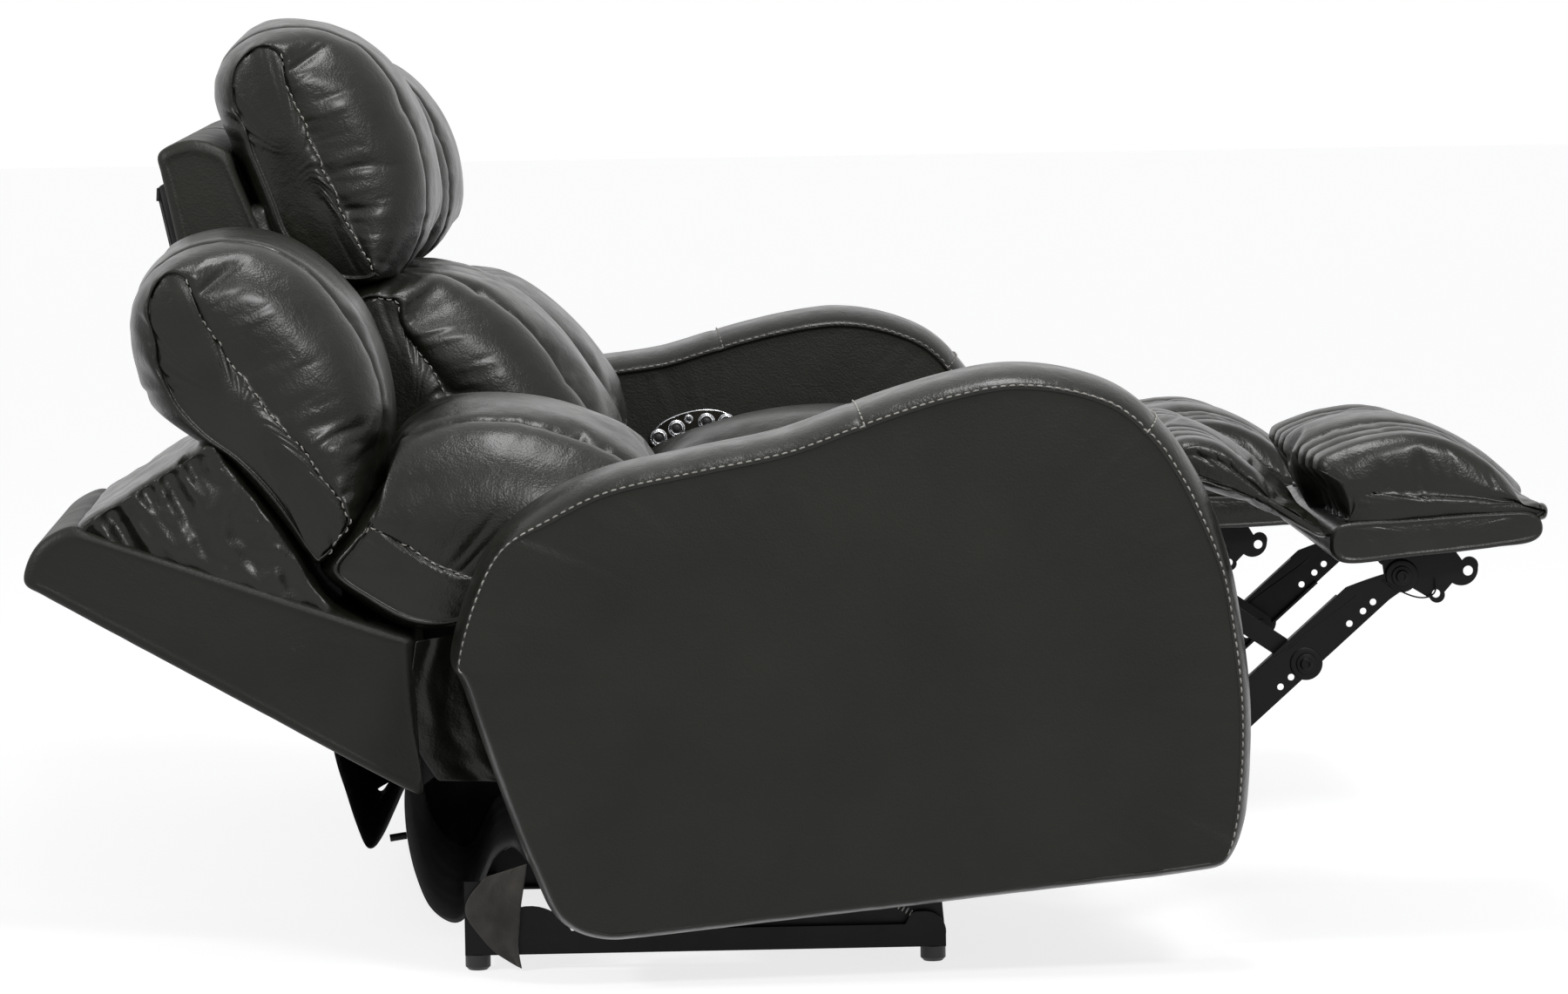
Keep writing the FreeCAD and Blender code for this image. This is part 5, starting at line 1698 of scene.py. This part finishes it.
@dataclass
class BackPanel:
    """The thin panel on the rear of the fixed seat's back."""

    size: Point = (536.0, 14.0, 424.0)
    middle: Point = (0.0, 721.0, 706.0)
    slope: float = 12.2
    edge: float = 3.0
    hem: float = 18.0
    groove: float = 2.0
    groove_depth: float = 1.5

    def build(self) -> None:
        """Make the panel from a board, with rounded edges."""
        only(None)
        bpy.ops.mesh.primitive_cube_add(size=1.0, location=(0, 0, 0))
        bpy.context.active_object.scale = Vector(self.size) * MM
        piece = named("centre_back_panel")
        edge = piece.modifiers.new("edges", "BEVEL")
        edge.width, edge.segments = self.edge * MM, 3
        apply_all(piece)
        pick_faces(piece, lambda face: face.normal.y > 0.9)
        bpy.ops.mesh.inset(thickness=self.hem * MM, depth=0)
        bpy.ops.mesh.inset(thickness=self.groove * MM, depth=-self.groove_depth * MM)
        bpy.ops.object.mode_set(mode="OBJECT")
        piece.data.transform(shift(*self.middle) @ Matrix.Rotation(math.radians(-self.slope), 4, "X"))
        piece.data.shade_smooth()
        wear(piece, LINING)
        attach(piece, "base")


class Steelwork:
    """The CAD's own steel, drives and feet, in their finishes."""

    WEARS = {
        POWDER_COAT: ("base_frame", "carriage", "seat_frame", "crank_links", "channel_links", "cross_links",
                      "footrest_brackets", "back_brackets", "headrest_arms"),
        NYLON: ("drive_motors", "legrest_block", "recline_block"),
        POLYPROPYLENE: ("feet",), ZINC: ("seat_springs",), NICKEL: ("control_plate",), CHROME: ("button",),
    }

    def build(self) -> None:
        """Dress every node that still shows."""
        for name, node in frame["nodes"].items():
            for finish, endings in self.WEARS.items():
                if name.endswith(endings):
                    wear(node, finish)


@dataclass(frozen=True)
class Lamp:
    """A soft box: where it hangs and what it points at, its width and depth, in metres, and its watts."""

    name: str
    spot: Point
    aim: Point
    wide: float
    deep: float
    power: float

    def build(self) -> None:
        """Hang the lamp."""
        data = bpy.data.lights.new(self.name, "AREA")
        data.shape = "RECTANGLE"
        data.size, data.size_y, data.energy = self.wide, self.deep, self.power
        lamp = bpy.data.objects.new(self.name, data)
        bpy.context.scene.collection.objects.link(lamp)
        lamp.location = self.spot
        lamp.rotation_euler = (Vector(self.aim) - Vector(self.spot)).to_track_quat("-Z", "Y").to_euler()


@dataclass
class Studio:
    """The camera, the floor and the lights."""

    # A long lens far out on the sofa's right, fitted to the photograph: its place, turns and length.
    eye: Point = (-8.59833, 0.29430, 1.19397)
    yaw: float = -2.0882
    pitch: float = -4.7244
    roll: float = -0.8417
    lens: float = 151.42
    floor_size: float = 60.0
    floor_glow: float = 0.78
    room_light: float = 0.35

    LAMPS = (Lamp("over_box", (-1.0, -0.2, 3.2), (-0.3, 0.0, 0.5), 0.7, 1.6, 58.0),
             Lamp("side_box", (-4.4, -1.6, 3.2), (-0.6, 0.0, 0.5), 0.8, 0.6, 95.0),
             Lamp("rear_box", (-2.6, 3.4, 2.8), (-0.5, 0.3, 0.6), 0.9, 0.7, 60.0))

    def camera(self) -> None:
        """Set up the camera."""
        data = bpy.data.cameras.new("camera")
        data.sensor_width, data.lens, data.clip_end = 36.0, self.lens, self.floor_size
        eye = bpy.data.objects.new("camera", data)
        bpy.context.scene.collection.objects.link(eye)
        yaw, pitch, roll = (math.radians(a) for a in (self.yaw, self.pitch, self.roll))
        ahead = Vector((math.cos(pitch) * math.cos(yaw), math.cos(pitch) * math.sin(yaw), math.sin(pitch)))
        level = ahead.cross(Vector((0, 0, 1))).normalized()
        over = level.cross(ahead)
        right = level * math.cos(roll) + over * math.sin(roll)
        up = over * math.cos(roll) - level * math.sin(roll)
        eye.matrix_world = Matrix.Translation(self.eye) @ Matrix((right, up, -ahead)).transposed().to_4x4()
        bpy.context.scene.camera = eye

    def seen(self, tree: bpy.types.NodeTree) -> bpy.types.Node:
        """Tell what the camera sees, itself or in gloss and glass, from lighting.

        Args:
            tree: the node tree.

        Returns:
            A node whose output is 1 for what is seen and 0 for lighting.
        """
        path = put(tree, "ShaderNodeLightPath")
        first = put(tree, "ShaderNodeMath", {"operation": "MAXIMUM"},
                    links={0: (path, "Is Camera Ray"), 1: (path, "Is Glossy Ray")})
        return put(tree, "ShaderNodeMath", {"operation": "MAXIMUM"},
                   links={0: (first, 0), 1: (path, "Is Transmission Ray")})

    def floor(self) -> None:
        """A pale floor that shows as white as the room around it."""
        only(None)
        bpy.ops.mesh.primitive_plane_add(size=self.floor_size, location=(0.0, 0.0, 0.0))
        floor = bpy.context.active_object
        floor.name = "floor"
        paint = bpy.data.materials.new("floor_matt_white")
        paint.use_nodes = True
        tree = paint.node_tree
        shader = tree.nodes["Principled BSDF"]
        shader.inputs["Base Color"].default_value = linear("9c9c9c")
        shader.inputs["Roughness"].default_value = 0.9
        glow = put(tree, "ShaderNodeEmission", values={"Color": linear("ffffff"), "Strength": self.floor_glow})
        shown = put(tree, "ShaderNodeAddShader", links={0: (shader, 0), 1: (glow, 0)})
        mix = put(tree, "ShaderNodeMixShader", links={0: (self.seen(tree), 0), 1: (shader, 0), 2: (shown, 0)})
        tree.links.new(mix.outputs[0], tree.nodes["Material Output"].inputs["Surface"])
        floor.data.materials.append(paint)

    def room(self) -> None:
        """A room that is white to the eye and lights the sofa faintly."""
        world = bpy.data.worlds.new("white_room")
        world.use_nodes = True
        tree = world.node_tree
        tree.nodes.clear()
        shown = put(tree, "ShaderNodeBackground", values={"Color": linear("ffffff"), "Strength": 1.0})
        lit = put(tree, "ShaderNodeBackground", values={"Color": linear("f6f8ff"), "Strength": self.room_light})
        mix = put(tree, "ShaderNodeMixShader", links={0: (self.seen(tree), 0), 1: (lit, 0), 2: (shown, 0)})
        put(tree, "ShaderNodeOutputWorld", links={0: (mix, 0)})
        bpy.context.scene.world = world

    def build(self) -> None:
        """Set up the view."""
        self.camera()
        self.floor()
        self.room()
        for lamp in self.LAMPS:
            lamp.build()
        bpy.context.scene.view_settings.view_transform = "Standard"


def main() -> None:
    """Build the sofa's looks in order, and log each form, piece and part as it is made."""
    logging.basicConfig(level=logging.INFO, format="%(message)s")
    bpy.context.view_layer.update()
    Studio().build()
    for form in FORMS.values():
        form.build()
        log.info("form %s", form.name)
    for seed, place in enumerate((RIGHT, CENTRE, LEFT), start=1):
        Upholstery(place, seed).build()
    for part in (RearLeather(), BackPanel(), Steelwork(), Hardware(), ControlPlate(RIGHT), ControlPlate(LEFT)):
        part.build()
        log.info("%s: done", type(part).__name__)


if __name__ == "__main__":
    main()
